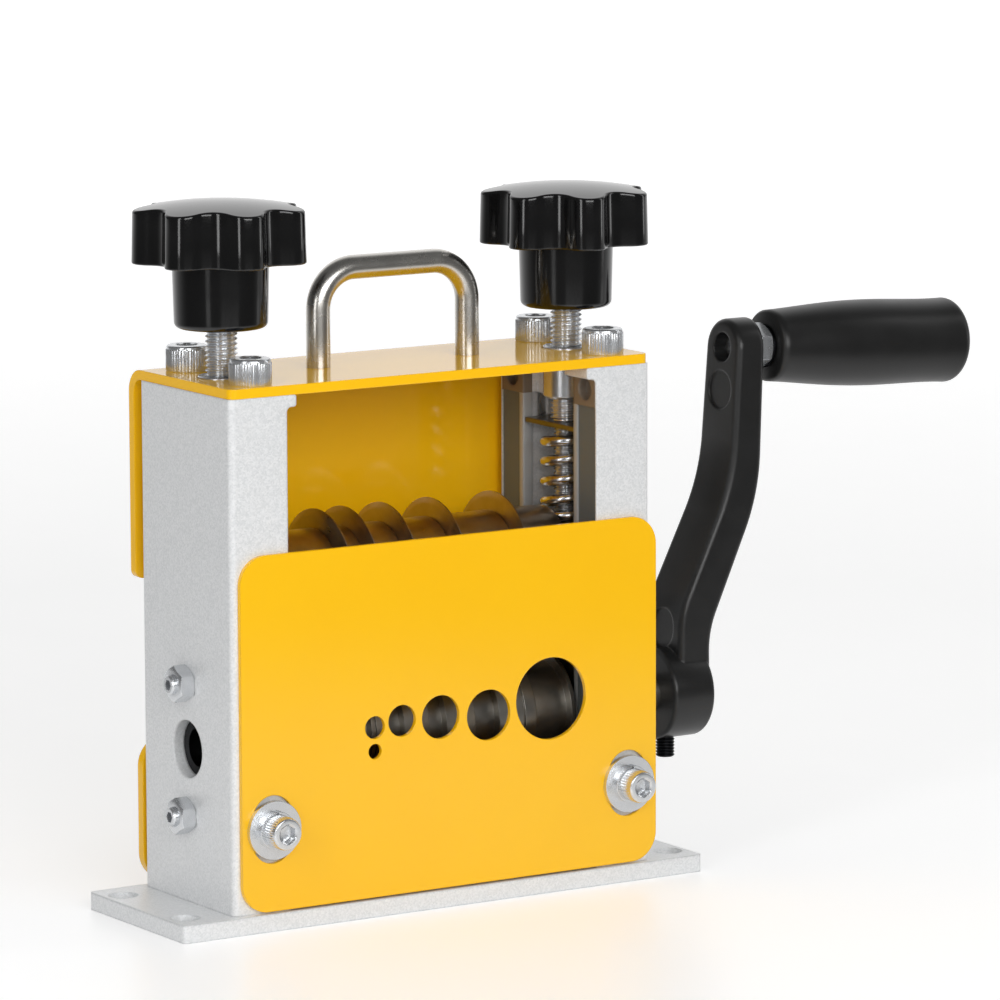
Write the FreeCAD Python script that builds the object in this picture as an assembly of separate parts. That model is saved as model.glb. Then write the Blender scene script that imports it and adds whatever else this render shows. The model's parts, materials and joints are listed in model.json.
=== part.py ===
import FreeCAD, Part
import math
import os

from FreeCAD import Vector

# Hand crank wire stripper: two C-section columns on a base plate carry a geared-down-by-hand
# feed roller below and a sprung, screw-adjusted arbor of five disc blades above it.
# Frame: millimetres, +Z up, +X towards the crank, -Y towards the cable guide plate.
# Origin: centre of the underside of the base plate.

X_AXIS = Vector(1, 0, 0)
Y_AXIS = Vector(0, 1, 0)
Z_AXIS = Vector(0, 0, 1)
SIDES = (("left", -1), ("right", 1))

# ---- driving dimensions: base and columns ----
base_overhang = 18.5          # past each column
base_lip = 2.2               # in front of and behind the columns
base_thickness = 5.5
base_hole_radius = 4.5
base_hole_inset_x = 6.2       # from the ends of the base
base_hole_spacing_y = 38.0
base_corner_radius = 1.5
foot_screw_head_radius = 6.0
foot_screw_head_height = 3.3
foot_screw_depth = 13.0       # thread in the column foot

body_width = 151.0            # over the outer faces of both columns
column_width = 20.0           # along X
column_depth = 54.3           # along Y
column_height = 157.35
column_web = 4.0              # outer wall
column_flange = 12.8          # front and rear walls
column_edge_radius = 2.0
head_height = 12.8            # solid crosspiece at the top of the channel
head_setback = 5.5            # crosspiece face behind the flange ends
lip_reach = 3.3               # tabs at the top of the flanges
lip_height = 3.6
lip_fillet = 1.6
track_width = 10.0            # milled track on each flange end
track_depth = 0.4
track_inset = 0.6             # from the outer face of the column
mouth_depth = 3.7             # narrow mouth of the channel, along X
mouth_step = 0.8              # the channel is wider by this on each side behind its mouth
head_hole_radius = 3.5        # blind locking hole in each flange end
head_hole_depth = 3.0
head_hole_drop = 7.4
head_hole_inset = 6.4

# ---- cover, handle, guide plates ----
sheet = 3.0
cover_end_inset = 0.4
cover_rear_gap = 4.15         # behind the columns
cover_bend_radius = 4.0       # inside of the bend
cover_flange_height = 65.0    # bent flange, from its lower edge to the top of the cover
cover_corner_radius = 2.5

cap_screw_inset = 12.2        # from the outer face of the column
cap_screw_spacing_y = 38.0
cap_thread_radius = 4.0
cap_head_radius = 6.5
cap_head_height = 8.0
cap_screw_depth = 20.0        # thread below the cover
hex_socket_large = 6.0        # across flats
hex_socket_small = 5.0

handle_bar_radius = 3.75
handle_spacing = 53.7
handle_height = 33.8          # top of the bar above the cover
handle_bend_radius = 12.5
handle_offset_y = 2.0
handle_screw_radius = 2.5
handle_screw_head_radius = 5.0
handle_screw_depth = 12.0

guide_thickness = 1.5
guide_side_gap = 0.5          # on each side, were the plate centred
guide_top_drop = 47.6         # below the top of the columns
guide_base_gap = 0.6
guide_shift_x = 1.8           # the plate and its screws sit a little towards the crank
guide_corner_radius = 9.0
guide_slot_width = 14.0
guide_slot_length = 20.9
guide_screw_inset = 11.2      # from the outer face of the column
guide_screw_rise = 25.9       # above the base plate
guide_washer_radius = 9.0
guide_washer_hole_radius = 3.3
guide_washer_thickness = 1.6
spring_washer_radius = 5.9
spring_washer_thickness = 1.5
spring_washer_gap = 0.8
m6_thread_radius = 3.0
m6_head_radius = 5.1
m6_head_height = 6.0
guide_screw_depth = 11.0      # thread in the column
clearance = 0.3               # general gap round a screw or between a moving pair

# cable stations from the crank side: distance from the right column, height above the roller
# axis, hole radius
cable_stations = (
    (17.8, 8.3, 12.85),
    (40.7, 5.5, 7.9),
    (58.1, 6.7, 6.75),
    (72.0, 7.0, 4.9),
    (81.7, 5.9, 3.5),
)
pilot_hole_drop = 1.5         # below the roller axis, at the last station
pilot_hole_radius = 2.35
blade_shift_x = 2.7           # each blade stands this far left of its hole

rear_plate_gap = 1.6
rear_plate_height = 45.2
rear_screw_rise = 21.5        # above the base plate
rear_spacer_radius = 6.0

# ---- lower shaft: roller, bearings, crank ----
roller_axis_rise = 47.4       # above the base plate
roller_radius = 18.0
roller_groove_depth = 3.0
roller_end_gap = 0.3
# grooves between the ridges: near and far side, as distances from the right column
roller_grooves = ((3.1, 16.2), (29.9, 38.7), (49.1, 55.4), (64.3, 70.8), (76.2, 81.5))
score_width = 0.5
score_depth = 0.6
shaft_radius = 6.0
journal_clearance = 0.05
block_gap = 8.0               # between the bearing block and the slide block above it
block_inset = 0.5             # bearing blocks behind the flange ends
bush_wall = 3.0
bush_flange_radius = 11.0
bush_flange_thickness = 1.5
web_bore_radius = 8.9
shaft_left_end_gap = 6.0      # shaft end inside the left web
roller_pin_radius = 2.0
roller_pin_inset = 14.0       # from the left end of the roller

set_screw_offset_z = 20.4     # above and below the roller axis
set_screw_proud = 6.6         # outside the web
nut_m6_across = 10.0
nut_m6_thickness = 5.0

crank_throw = 108.1
hub_radius = 15.0
hub_gap = 18.1                # clear of the right column
hub_length = 15.4
arm_foot_thickness = 11.8
arm_top_thickness = 10.5
arm_proud = 1.2               # outer face of the arm beyond the hub
arm_foot_width = 22.0
arm_top_width = 18.8
arm_inner_bends = (25.8, 67.1)    # where the slanted stretch starts and ends, above the roller axis
arm_outer_bends = (19.5, 62.1)
arm_outer_offset = 19.6       # sideways, from the foot to the upper bend
arm_inner_offset = 20.2
arm_low_bend_radius = 30.0
arm_high_bend_radius = 65.0
grip_droop = 2.6              # degrees: the upper stretch leans out and the spindle points down by this
arm_edge_radius = 2.0
arm_mark_radius = 6.2
arm_mark_depth = 0.6
arm_lower_mark_lean = 6.0     # degrees
arm_upper_mark_drop = 13.1    # below the spindle axis
arm_lower_mark_rise = 20.5    # above the roller axis
hub_screw_inset = 6.1         # from the inner face of the hub
hub_screw_length = 15.2
end_screw_radius = 2.5
end_screw_head_radius = 4.25
end_screw_head_height = 4.2
end_washer_radius = 7.0
end_washer_thickness = 1.0
end_screw_depth = 12.0
end_spot_face_radius = 8.0

spindle_radius = 4.0
spindle_hole_radius = 4.7     # open end of the hole in the arm
spindle_recess = 5.0          # spindle end behind the inner face of the arm
nut_m8_across = 13.0
nut_m8_thickness = 5.0
spindle_washer_radius = 7.0
spindle_washer_thickness = 0.75
grip_length = 73.0
grip_start_radius = 11.4
grip_belly_radius = 13.75
grip_end_radius = 13.75
grip_edge_radius = 3.0
grip_running_gap = 0.3
grip_bore_clearance = 0.08
grip_cap_radius = 7.0
grip_cap_thickness = 2.0
grip_cap_gap = 1.2

# ---- upper shaft: arbor, blades, slide blocks ----
shaft_centres = 48.2          # arbor above the roller, as set
arbor_radius = 5.0
arbor_bush_wall = 2.0
arbor_end_gap = 2.0
blade_radius = 21.5
blade_thickness = 2.0
blade_bevel = 2.4
blade_edge_half = 0.15
arbor_spacer_radius = 15.7
arbor_stack_gap = 2.4         # between the end spacers and the slide blocks
ring_thickness = 1.2
ring_radius = 7.2
ring_groove_depth = 0.5
upper_block_below = 12.2      # slide block below and above the arbor axis
upper_block_above = 9.3
slide_clearance_y = 0.1

# ---- adjusters and springs ----
adjuster_inset = 13.3         # from the outer face of the column
adjuster_screw_radius = 5.0
adjuster_pitch = 1.5
thread_depth = 0.75
bush_thread_clearance = 0.05
thread_bush_radius = 7.2
thread_bush_chamfer = 0.8
thread_bush_proud = 0.6       # above the cover
spring_rod_radius = 4.0
spring_rod_pitch = 1.25
spring_seat_drop = 7.4        # below the column head
spring_seat_thickness = 1.5
spring_rod_end_gap = 3.1      # above the slide block
spring_mean_radius = 7.0
spring_wire_radius = 1.4
spring_pitch = 6.4
spring_seating = 0.05
float_bolt_shift = 4.2        # from the screw axis, towards the outer wall
float_bolt_offset = 9.7       # either side of the screw axis, along Y
float_bolt_radius = 1.5
float_bolt_head_radius = 2.0
float_bolt_head_height = 1.0
float_bolt_thread_depth = 9.0
float_bolt_clearance = 0.1

knob_radius = 26.95           # over the lobes
knob_hollow_radius = 21.4     # to the bottom of each valley
knob_lobe_curve = 6.0         # radius of each lobe's own curve
knob_lobes = 7
knob_rim_height = 16.0
knob_dome_height = 2.8
knob_boss_radius = 14.75
knob_boss_height = 19.9
knob_boss_taper = 0.45
knob_boss_edge = 2.0
knob_rim_edge = 0.6
knob_valley_angle_left = -125.3   # degrees from +X, where a valley points
knob_valley_angle_right = -131.2
knob_screw_depth = 22.0       # screw inside the knob
knob_thread_entry = 4.0       # full thread inside the boss
knob_rise_left = 15.1         # underside of the boss, above the cover
knob_rise_right = 13.1

# ---- places worked out from the dimensions above ----
half_body = body_width / 2
half_depth = column_depth / 2
column_bottom = base_thickness
column_top = base_thickness + column_height
flange_end = half_body - column_width          # x of the inner ends of the flanges
web_inner = half_body - column_web
channel_half = half_depth - column_flange
head_bottom = column_top - head_height
base_length = body_width + 2 * base_overhang
base_depth = column_depth + 2 * base_lip
base_hole_spacing_x = base_length - 2 * base_hole_inset_x
cap_screw_spacing_x = body_width - 2 * cap_screw_inset
cover_top = column_top + sheet
cover_rear = half_depth + cover_rear_gap + sheet
cover_half = half_body - cover_end_inset
cover_flange_bottom = cover_top - cover_flange_height
guide_bottom = base_thickness + guide_base_gap
guide_width = body_width - 2 * guide_side_gap
guide_height = column_top - guide_top_drop - guide_bottom
guide_front = -half_depth - guide_thickness
guide_screw_spacing = body_width - 2 * guide_screw_inset
guide_screw_height = column_bottom + guide_screw_rise
rear_screw_height = column_bottom + rear_screw_rise
rear_plate_inner = half_depth + rear_plate_gap
block_inner = flange_end + block_inset
bush_outer_radius = shaft_radius + bush_wall
bush_flange_face = block_inner - bush_flange_thickness
roller_axis_z = column_bottom + roller_axis_rise
roller_half = bush_flange_face - roller_end_gap
roller_pin_x = roller_pin_inset - roller_half
guide_holes = [(flange_end - along, roller_axis_z + rise, radius)
               for along, rise, radius in cable_stations]
guide_screw_x = [guide_shift_x - guide_screw_spacing / 2, guide_shift_x + guide_screw_spacing / 2]
blade_stations = sorted(x - blade_shift_x for x, _, _ in guide_holes)
pilot_hole_x = guide_holes[-1][0]
pilot_hole_z = roller_axis_z - pilot_hole_drop
hub_inner_x = half_body + hub_gap
hub_outer_x = hub_inner_x + hub_length
hub_screw_x = hub_inner_x + hub_screw_inset
arm_foot_outer_x = hub_outer_x + arm_proud
arm_foot_inner_x = arm_foot_outer_x - arm_foot_thickness
arm_outer_x = (arm_foot_outer_x + arm_outer_offset
               + math.tan(math.radians(grip_droop)) * (crank_throw - arm_outer_bends[1]))
arm_top_inner_x = arm_outer_x - arm_top_thickness
arm_lower_mark_z = roller_axis_z + arm_lower_mark_rise
spindle_axis_z = roller_axis_z + crank_throw
grip_start = arm_outer_x + nut_m8_thickness + spindle_washer_thickness + grip_running_gap
grip_end = grip_start + grip_length
arbor_axis_z = roller_axis_z + shaft_centres
arbor_bush_radius = arbor_radius + arbor_bush_wall
arbor_stack_half = block_inner - arbor_stack_gap
upper_block_bottom = arbor_axis_z - upper_block_below
lower_block_top = upper_block_bottom - block_gap
upper_block_top = arbor_axis_z + upper_block_above
adjuster_x = half_body - adjuster_inset
float_bolt_x = adjuster_x + float_bolt_shift
spring_seat_top = head_bottom - spring_seat_drop
spring_top = spring_seat_top - spring_seat_thickness
knob_height_left = cover_top + knob_rise_left
knob_height_right = cover_top + knob_rise_right


def box(x0, x1, y0, y1, z0, z1):
    """Box between two corners, given in any order."""
    low = Vector(min(x0, x1), min(y0, y1), min(z0, z1))
    return Part.makeBox(abs(x1 - x0), abs(y1 - y0), abs(z1 - z0), low)


def cyl(radius, start, end):
    """Round bar between two points."""
    run = end - start
    return Part.makeCylinder(radius, run.Length, start, run)


def cyl_x(radius, x0, x1, y=0.0, z=0.0):
    return cyl(radius, Vector(min(x0, x1), y, z), Vector(max(x0, x1), y, z))


def cyl_y(radius, y0, y1, x=0.0, z=0.0):
    return cyl(radius, Vector(x, min(y0, y1), z), Vector(x, max(y0, y1), z))


def cyl_z(radius, z0, z1, x=0.0, y=0.0):
    return cyl(radius, Vector(x, y, min(z0, z1)), Vector(x, y, max(z0, z1)))


def hex_prism(across, start, end, turn=0.0):
    """Hexagonal bar between two points; turn is in degrees about its own axis."""
    run = end - start
    corner = across / 2 / math.cos(math.radians(30))
    points = []
    for k in range(7):
        angle = math.radians(60 * k + turn)
        points.append(Vector(corner * math.cos(angle), corner * math.sin(angle), 0))
    bar = Part.Face(Part.makePolygon(points)).extrude(Vector(0, 0, run.Length))
    bar.Placement = FreeCAD.Placement(start, FreeCAD.Rotation(Z_AXIS, run))
    return bar


def revolve_profile(points, centre, axis):
    """Solid of revolution; points are (radius, distance along axis) and close on the axis."""
    side = Y_AXIS if axis.isEqual(X_AXIS, 1e-9) else X_AXIS
    ring = [centre + side * radius + axis * along for radius, along in points]
    face = Part.Face(Part.makePolygon(ring + [ring[0]]))
    return face.revolve(centre, axis, 360)


def threaded_bar(radius, pitch, z0, z1, x, y=0.0, depth=thread_depth):
    """Upright bar whose thread is drawn as rings of crest and root."""
    turns = int((z1 - z0) / pitch)
    points = [(0, z0), (radius - depth, z0)]
    for k in range(turns):
        crest = z0 + (k + 0.5) * pitch
        points += [(radius, crest - pitch * 0.1), (radius, crest + pitch * 0.1)]
        points += [(radius - depth, crest + pitch * 0.45), (radius - depth, crest + pitch * 0.5)]
    points += [(radius - depth, z1), (0, z1)]
    return revolve_profile(points, Vector(x, y, 0), Z_AXIS)


def rounded_plate(width, height, thickness, radius, low):
    """Plate in the X-Z plane with rounded corners; low is its corner with the least x, y and z."""
    plate = Part.makeBox(width, thickness, height, low)
    corners = [e for e in plate.Edges if abs(e.Length - thickness) < 1e-6
               and abs(e.tangentAt(e.FirstParameter).y) > 0.99]
    return plate.makeFillet(radius, corners)


def slot_y(width, length, y0, y1, x, z):
    """Upright slot cut through along Y."""
    straight = length / 2 - width / 2
    body = box(x - width / 2, x + width / 2, y0, y1, z - straight, z + straight)
    for end in (z - straight, z + straight):
        body = body.fuse(cyl_y(width / 2, y0, y1, x, end))
    return body


def socket_screw(radius, length, head_radius, head_height, socket, seat, out):
    """Socket head cap screw; seat is under the head and out points away from the work."""
    shank = cyl(radius, seat - out * length, seat)
    head = cyl(head_radius, seat, seat + out * head_height)
    rim = [e for e in head.Edges if e.Curve.TypeId == "Part::GeomCircle"
           and abs((e.CenterOfMass - seat).dot(out) - head_height) < 1e-6]
    head = head.makeChamfer(0.5, rim)
    top = seat + out * head_height
    pocket = hex_prism(socket, top - out * head_height * 0.55, top + out)
    return shank.fuse(head).cut(pocket).removeSplitter()


def group(solids):
    return Part.makeCompound(solids)


def end_edges(shape, direction, along):
    """Edges whose middle lies in the plane at distance along direction."""
    return [e for e in shape.Edges if abs(e.CenterOfMass.dot(direction) - along) < 1e-6]


# ---- frame ----
def base_plate():
    plate = box(-base_length / 2, base_length / 2, -base_depth / 2, base_depth / 2, 0, base_thickness)
    upright = [e for e in plate.Edges if abs(e.Length - base_thickness) < 1e-6]
    plate = plate.makeFillet(base_corner_radius, upright)
    for sx in (-1, 1):
        for sy in (-1, 1):
            x = sx * base_hole_spacing_x / 2
            y = sy * base_hole_spacing_y / 2
            plate = plate.cut(cyl_z(base_hole_radius, -1, base_thickness + 1, x, y))
    return plate.cut(group([base_screw_solid(s, t) for s in (-1, 1) for t in (-1, 1)]))


def base_screw_solid(sx, sy):
    """Countersunk screw from under the base into the foot of a flange."""
    x = sx * cap_screw_spacing_x / 2
    y = sy * cap_screw_spacing_y / 2
    head = Part.makeCone(foot_screw_head_radius, m6_thread_radius, foot_screw_head_height,
                         Vector(x, y, 0))
    shank = cyl_z(m6_thread_radius, 0, base_thickness + foot_screw_depth, x, y)
    return head.fuse(shank).removeSplitter()


def column_base_screws():
    screws = []
    for sx in (-1, 1):
        for sy in (-1, 1):
            x = sx * cap_screw_spacing_x / 2
            y = sy * cap_screw_spacing_y / 2
            pocket = hex_prism(4.0, Vector(x, y, -1), Vector(x, y, 2.2))
            screws.append(base_screw_solid(sx, sy).cut(pocket))
    return group(screws)


def column(side):
    """C-section column, open towards the middle, with a solid head and a foot on the base."""
    s = side
    block = box(s * flange_end, s * half_body, -half_depth, half_depth, column_bottom, column_top)
    outer = [e for e in block.Edges if abs(e.Length - column_height) < 1e-6
             and abs(abs(e.CenterOfMass.x) - half_body) < 1e-6]
    block = block.makeFillet(column_edge_radius, outer)
    channel = box(s * (flange_end - 1), s * web_inner, -channel_half, channel_half,
                  column_bottom - 1, head_bottom)
    upper = box(s * (flange_end - 1), s * (flange_end + head_setback), -channel_half, channel_half,
                head_bottom - 1, column_top + 1)
    block = block.cut(channel).cut(upper)
    for t in (-1, 1):
        tab = box(s * (flange_end - lip_reach), s * (flange_end + 1), t * channel_half, t * half_depth,
                  column_top - lip_height, column_top)
        corner = [e for e in tab.Edges if abs(abs(e.CenterOfMass.x) - flange_end + lip_reach) < 1e-6
                  and abs(e.Length - column_flange) < 1e-6]
        tab = tab.makeFillet(lip_fillet * 0.5, corner)
        block = block.fuse(tab)
        web = box(s * (flange_end - lip_fillet), s * (flange_end + 0.5), t * channel_half, t * half_depth,
                  column_top - lip_height - lip_fillet, column_top - lip_height)
        hollow = cyl_y(lip_fillet, -half_depth - 1, half_depth + 1, s * (flange_end - lip_fillet),
                       column_top - lip_height - lip_fillet)
        block = block.fuse(web.cut(hollow))
    block = block.removeSplitter()
    for t in (-1, 1):
        track = box(s * (flange_end - 1), s * (flange_end + track_depth),
                    t * (half_depth - track_inset), t * (half_depth - track_inset - track_width),
                    lower_block_top, head_bottom)
        step = box(s * (flange_end + mouth_depth), s * web_inner, t * (channel_half - 1),
                   t * (channel_half + mouth_step), lower_block_top, head_bottom)
        block = block.cut(step)
        y = t * (half_depth - head_hole_inset)
        blind = cyl_x(head_hole_radius, s * (flange_end - 1), s * (flange_end + head_hole_depth), y,
                      column_top - head_hole_drop)
        block = block.cut(track).cut(blind)
        top_hole = cyl_z(cap_thread_radius, column_top - cap_screw_depth - 2, column_top + 1,
                         s * cap_screw_spacing_x / 2, t * cap_screw_spacing_y / 2)
        foot_hole = cyl_z(m6_thread_radius, column_bottom - 1, column_bottom + foot_screw_depth + 1,
                          s * cap_screw_spacing_x / 2, t * cap_screw_spacing_y / 2)
        block = block.cut(top_hole).cut(foot_hole)
    block = block.cut(cyl_z(thread_bush_radius, head_bottom - 1, column_top + 1, s * adjuster_x))
    block = block.cut(cyl_x(web_bore_radius, s * (web_inner - 1), s * (half_body + 1), 0, roller_axis_z))
    block = block.cut(cyl_y(m6_thread_radius, -half_depth - 1, -half_depth + guide_screw_depth + 0.5,
                            guide_shift_x + s * guide_screw_spacing / 2, guide_screw_height))
    block = block.cut(cyl_y(m6_thread_radius, half_depth + 1, half_depth - guide_screw_depth - 0.5,
                            s * guide_screw_spacing / 2, rear_screw_height))
    for t in (-1, 1):
        block = block.cut(cyl_x(m6_thread_radius, s * (web_inner - 1), s * (half_body + 1), 0,
                                roller_axis_z + t * set_screw_offset_z))
    return block


def thread_bush(side):
    """Steel bush pressed into the column head; its inner side stands proud of the crosspiece."""
    top = cover_top + thread_bush_proud
    bush = cyl_z(thread_bush_radius, head_bottom, top, side * adjuster_x)
    bush = bush.makeChamfer(thread_bush_chamfer, end_edges(bush, Z_AXIS, head_bottom))
    bush = bush.makeChamfer(thread_bush_proud / 2, end_edges(bush, Z_AXIS, top))
    return bush.cut(cyl_z(adjuster_screw_radius + bush_thread_clearance, head_bottom - 1, top + 1,
                          side * adjuster_x))


# ---- cover and handle ----
def top_cover():
    """Sheet bent down behind the columns, with round clearance holes for screws."""
    inner = cover_bend_radius
    outer = cover_bend_radius + sheet
    y_bend = cover_rear - outer
    z_bend = cover_top - outer
    points = [Vector(0, -half_depth, column_top), Vector(0, -half_depth, cover_top),
              Vector(0, y_bend, cover_top), Vector(0, cover_rear, z_bend),
              Vector(0, cover_rear, cover_flange_bottom), Vector(0, cover_rear - sheet, cover_flange_bottom),
              Vector(0, cover_rear - sheet, z_bend), Vector(0, y_bend, column_top)]
    root = math.sqrt(0.5)
    outer_mid = Vector(0, y_bend + outer * root, z_bend + outer * root)
    inner_mid = Vector(0, y_bend + inner * root, z_bend + inner * root)
    edges = [Part.LineSegment(points[0], points[1]).toShape(),
             Part.LineSegment(points[1], points[2]).toShape(),
             Part.Arc(points[2], outer_mid, points[3]).toShape(),
             Part.LineSegment(points[3], points[4]).toShape(),
             Part.LineSegment(points[4], points[5]).toShape(),
             Part.LineSegment(points[5], points[6]).toShape(),
             Part.Arc(points[6], inner_mid, points[7]).toShape(),
             Part.LineSegment(points[7], points[0]).toShape()]
    profile = Part.Face(Part.Wire(edges))
    profile.translate(Vector(-cover_half, 0, 0))
    cover = profile.extrude(Vector(2 * cover_half, 0, 0))
    corners = [e for e in cover.Edges if abs(e.Length - sheet) < 1e-6
               and (abs(e.CenterOfMass.z - cover_flange_bottom) < 1e-6
                    or abs(e.CenterOfMass.y + half_depth) < 1e-6)]
    cover = cover.makeFillet(cover_corner_radius, corners)
    holes = [cyl_z(thread_bush_radius + clearance, column_top - 1, cover_top + 1, s * adjuster_x)
             for s in (-1, 1)]
    for s in (-1, 1):
        for t in (-1, 1):
            holes.append(cyl_z(cap_thread_radius + clearance, column_top - 1, cover_top + 1,
                               s * cap_screw_spacing_x / 2, t * cap_screw_spacing_y / 2))
        x = s * handle_spacing / 2
        holes.append(handle_screw_solid(x, sheet))
    for hole in holes:
        cover = cover.cut(hole)
    return cover


def cover_screws():
    screws = []
    for s in (-1, 1):
        for t in (-1, 1):
            seat = Vector(s * cap_screw_spacing_x / 2, t * cap_screw_spacing_y / 2, cover_top)
            screws.append(socket_screw(cap_thread_radius, sheet + cap_screw_depth, cap_head_radius,
                                       cap_head_height, hex_socket_large, seat, Z_AXIS))
    return group(screws)


def handle_screw_solid(x, length):
    """Countersunk screw under the cover, flush with its underside."""
    head = Part.makeCone(handle_screw_head_radius, handle_screw_radius, 2.5,
                         Vector(x, handle_offset_y, column_top))
    shank = cyl_z(handle_screw_radius, column_top, column_top + length, x, handle_offset_y)
    return head.fuse(shank).removeSplitter()


def handle_screws():
    screws = []
    for s in (-1, 1):
        x = s * handle_spacing / 2
        pocket = hex_prism(3.0, Vector(x, handle_offset_y, column_top - 1),
                           Vector(x, handle_offset_y, column_top + 1.6))
        screws.append(handle_screw_solid(x, sheet + handle_screw_depth - 0.5).cut(pocket))
    return group(screws)


def carry_handle():
    """Round bar bent to a loop, standing on the cover, tapped at both feet."""
    half = handle_spacing / 2
    bar_z = cover_top + handle_height - handle_bar_radius
    r = handle_bend_radius
    root = math.sqrt(0.5)
    p = [Vector(-half, handle_offset_y, cover_top), Vector(-half, handle_offset_y, bar_z - r),
         Vector(-half + r, handle_offset_y, bar_z), Vector(half - r, handle_offset_y, bar_z),
         Vector(half, handle_offset_y, bar_z - r), Vector(half, handle_offset_y, cover_top)]
    left_mid = Vector(-half + r - r * root, handle_offset_y, bar_z - r + r * root)
    right_mid = Vector(half - r + r * root, handle_offset_y, bar_z - r + r * root)
    path = Part.Wire([Part.LineSegment(p[0], p[1]).toShape(), Part.Arc(p[1], left_mid, p[2]).toShape(),
                      Part.LineSegment(p[2], p[3]).toShape(), Part.Arc(p[3], right_mid, p[4]).toShape(),
                      Part.LineSegment(p[4], p[5]).toShape()])
    ring = Part.Wire(Part.makeCircle(handle_bar_radius, p[0], Z_AXIS))
    bar = path.makePipeShell([ring], True, False)
    for x in (-half, half):
        bar = bar.cut(cyl_z(handle_screw_radius, cover_top - 1, cover_top + handle_screw_depth, x,
                            handle_offset_y))
    return bar


# ---- guide plates ----
def front_guide_plate():
    plate = rounded_plate(guide_width, guide_height, guide_thickness, guide_corner_radius,
                          Vector(guide_shift_x - guide_width / 2, guide_front, guide_bottom))
    y0, y1 = guide_front - 1, -half_depth + 1
    for x, z, radius in guide_holes + [(pilot_hole_x, pilot_hole_z, pilot_hole_radius)]:
        plate = plate.cut(cyl_y(radius, y0, y1, x, z))
    for x in guide_screw_x:
        plate = plate.cut(slot_y(guide_slot_width, guide_slot_length, y0, y1, x, guide_screw_height))
    return plate


def washer_y(radius, hole, y0, y1, x, z):
    return cyl_y(radius, y0, y1, x, z).cut(cyl_y(hole, y0 - 1, y1 + 1, x, z))


def guide_washers():
    return group([washer_y(guide_washer_radius, guide_washer_hole_radius,
                           guide_front - guide_washer_thickness, guide_front,
                           x, guide_screw_height) for x in guide_screw_x])


def guide_spring_washers():
    """Split lock washers under the screw heads."""
    y1 = guide_front - guide_washer_thickness
    y0 = y1 - spring_washer_thickness
    rings = []
    for x in guide_screw_x:
        ring = washer_y(spring_washer_radius, guide_washer_hole_radius, y0, y1, x, guide_screw_height)
        gap = box(x - spring_washer_gap / 2, x + spring_washer_gap / 2, y0 - 1, y1 + 1,
                  guide_screw_height, guide_screw_height + 2 * spring_washer_radius)
        rings.append(ring.cut(gap))
    return group(rings)


def guide_screws():
    screws = []
    stack = guide_thickness + guide_washer_thickness + spring_washer_thickness
    for x in guide_screw_x:
        seat = Vector(x, -half_depth - stack, guide_screw_height)
        screws.append(socket_screw(m6_thread_radius, stack + guide_screw_depth, m6_head_radius,
                                   m6_head_height, hex_socket_small, seat, Vector(0, -1, 0)))
    return group(screws)


def rear_guard_plate():
    plate = rounded_plate(guide_width, rear_plate_height, sheet, guide_corner_radius,
                          Vector(-guide_width / 2, rear_plate_inner, guide_bottom))
    for s in (-1, 1):
        plate = plate.cut(cyl_y(m6_thread_radius + clearance, rear_plate_inner - 1,
                                rear_plate_inner + sheet + 1, s * guide_screw_spacing / 2,
                                rear_screw_height))
    return plate


def rear_guard_spacers():
    return group([washer_y(rear_spacer_radius, guide_washer_hole_radius, half_depth, rear_plate_inner,
                           s * guide_screw_spacing / 2, rear_screw_height) for s in (-1, 1)])


def rear_guard_screws():
    screws = []
    for s in (-1, 1):
        seat = Vector(s * guide_screw_spacing / 2, rear_plate_inner + sheet, rear_screw_height)
        length = rear_plate_gap + sheet + guide_screw_depth
        screws.append(socket_screw(m6_thread_radius, length, m6_head_radius, m6_head_height,
                                   hex_socket_small, seat, Y_AXIS))
    return group(screws)


# ---- lower shaft ----
def roller_block(side):
    """Bearing block that fills the foot of the channel."""
    block = box(side * block_inner, side * web_inner, -channel_half, channel_half,
                column_bottom, lower_block_top)
    block = block.makeChamfer(0.8, [e for e in end_edges(block, Z_AXIS, lower_block_top)])
    return block.cut(cyl_x(bush_outer_radius, side * (block_inner - 1), side * (web_inner + 1), 0,
                           roller_axis_z))


def roller_bush(side):
    """Flanged bronze bush."""
    tube = cyl_x(bush_outer_radius, side * block_inner, side * web_inner, 0, roller_axis_z)
    flange = cyl_x(bush_flange_radius, side * bush_flange_face, side * block_inner, 0, roller_axis_z)
    bore = cyl_x(shaft_radius + journal_clearance, side * (bush_flange_face - 1), side * (web_inner + 1),
                 0, roller_axis_z)
    return tube.fuse(flange).removeSplitter().cut(bore)


def block_set_screws():
    """Grub screws that hold the bearing blocks inwards."""
    screws = []
    for s in (-1, 1):
        for t in (-1, 1):
            z = roller_axis_z + t * set_screw_offset_z
            end = s * (half_body + set_screw_proud)
            grub = cyl_x(m6_thread_radius, end, s * web_inner, 0, z)
            grub = grub.makeChamfer(0.5, end_edges(grub, X_AXIS, end))
            pocket = hex_prism(3.0, Vector(end + s, 0, z), Vector(end - s * 3.0, 0, z), 30)
            screws.append(grub.cut(pocket))
    return group(screws)


def hex_nut(across, thickness, bore, start, out, turn):
    """Hexagon nut with chamfered corners on both faces."""
    nut = hex_prism(across, start, start + out * thickness, turn)
    corner = across / math.sqrt(3)
    half = thickness / 2
    taper = (corner - across / 2 * 0.97) * math.tan(math.radians(30))
    cone = revolve_profile([(0, 0), (across / 2 * 0.97, 0), (corner + 0.01, taper),
                            (corner + 0.01, 2 * half - taper), (across / 2 * 0.97, 2 * half),
                            (0, 2 * half)], Vector(0, 0, 0), Z_AXIS)
    cone.Placement = FreeCAD.Placement(start, FreeCAD.Rotation(Z_AXIS, out))
    hole = cyl(bore, start - out, start + out * (thickness + 1))
    return nut.common(cone).cut(hole)


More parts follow.
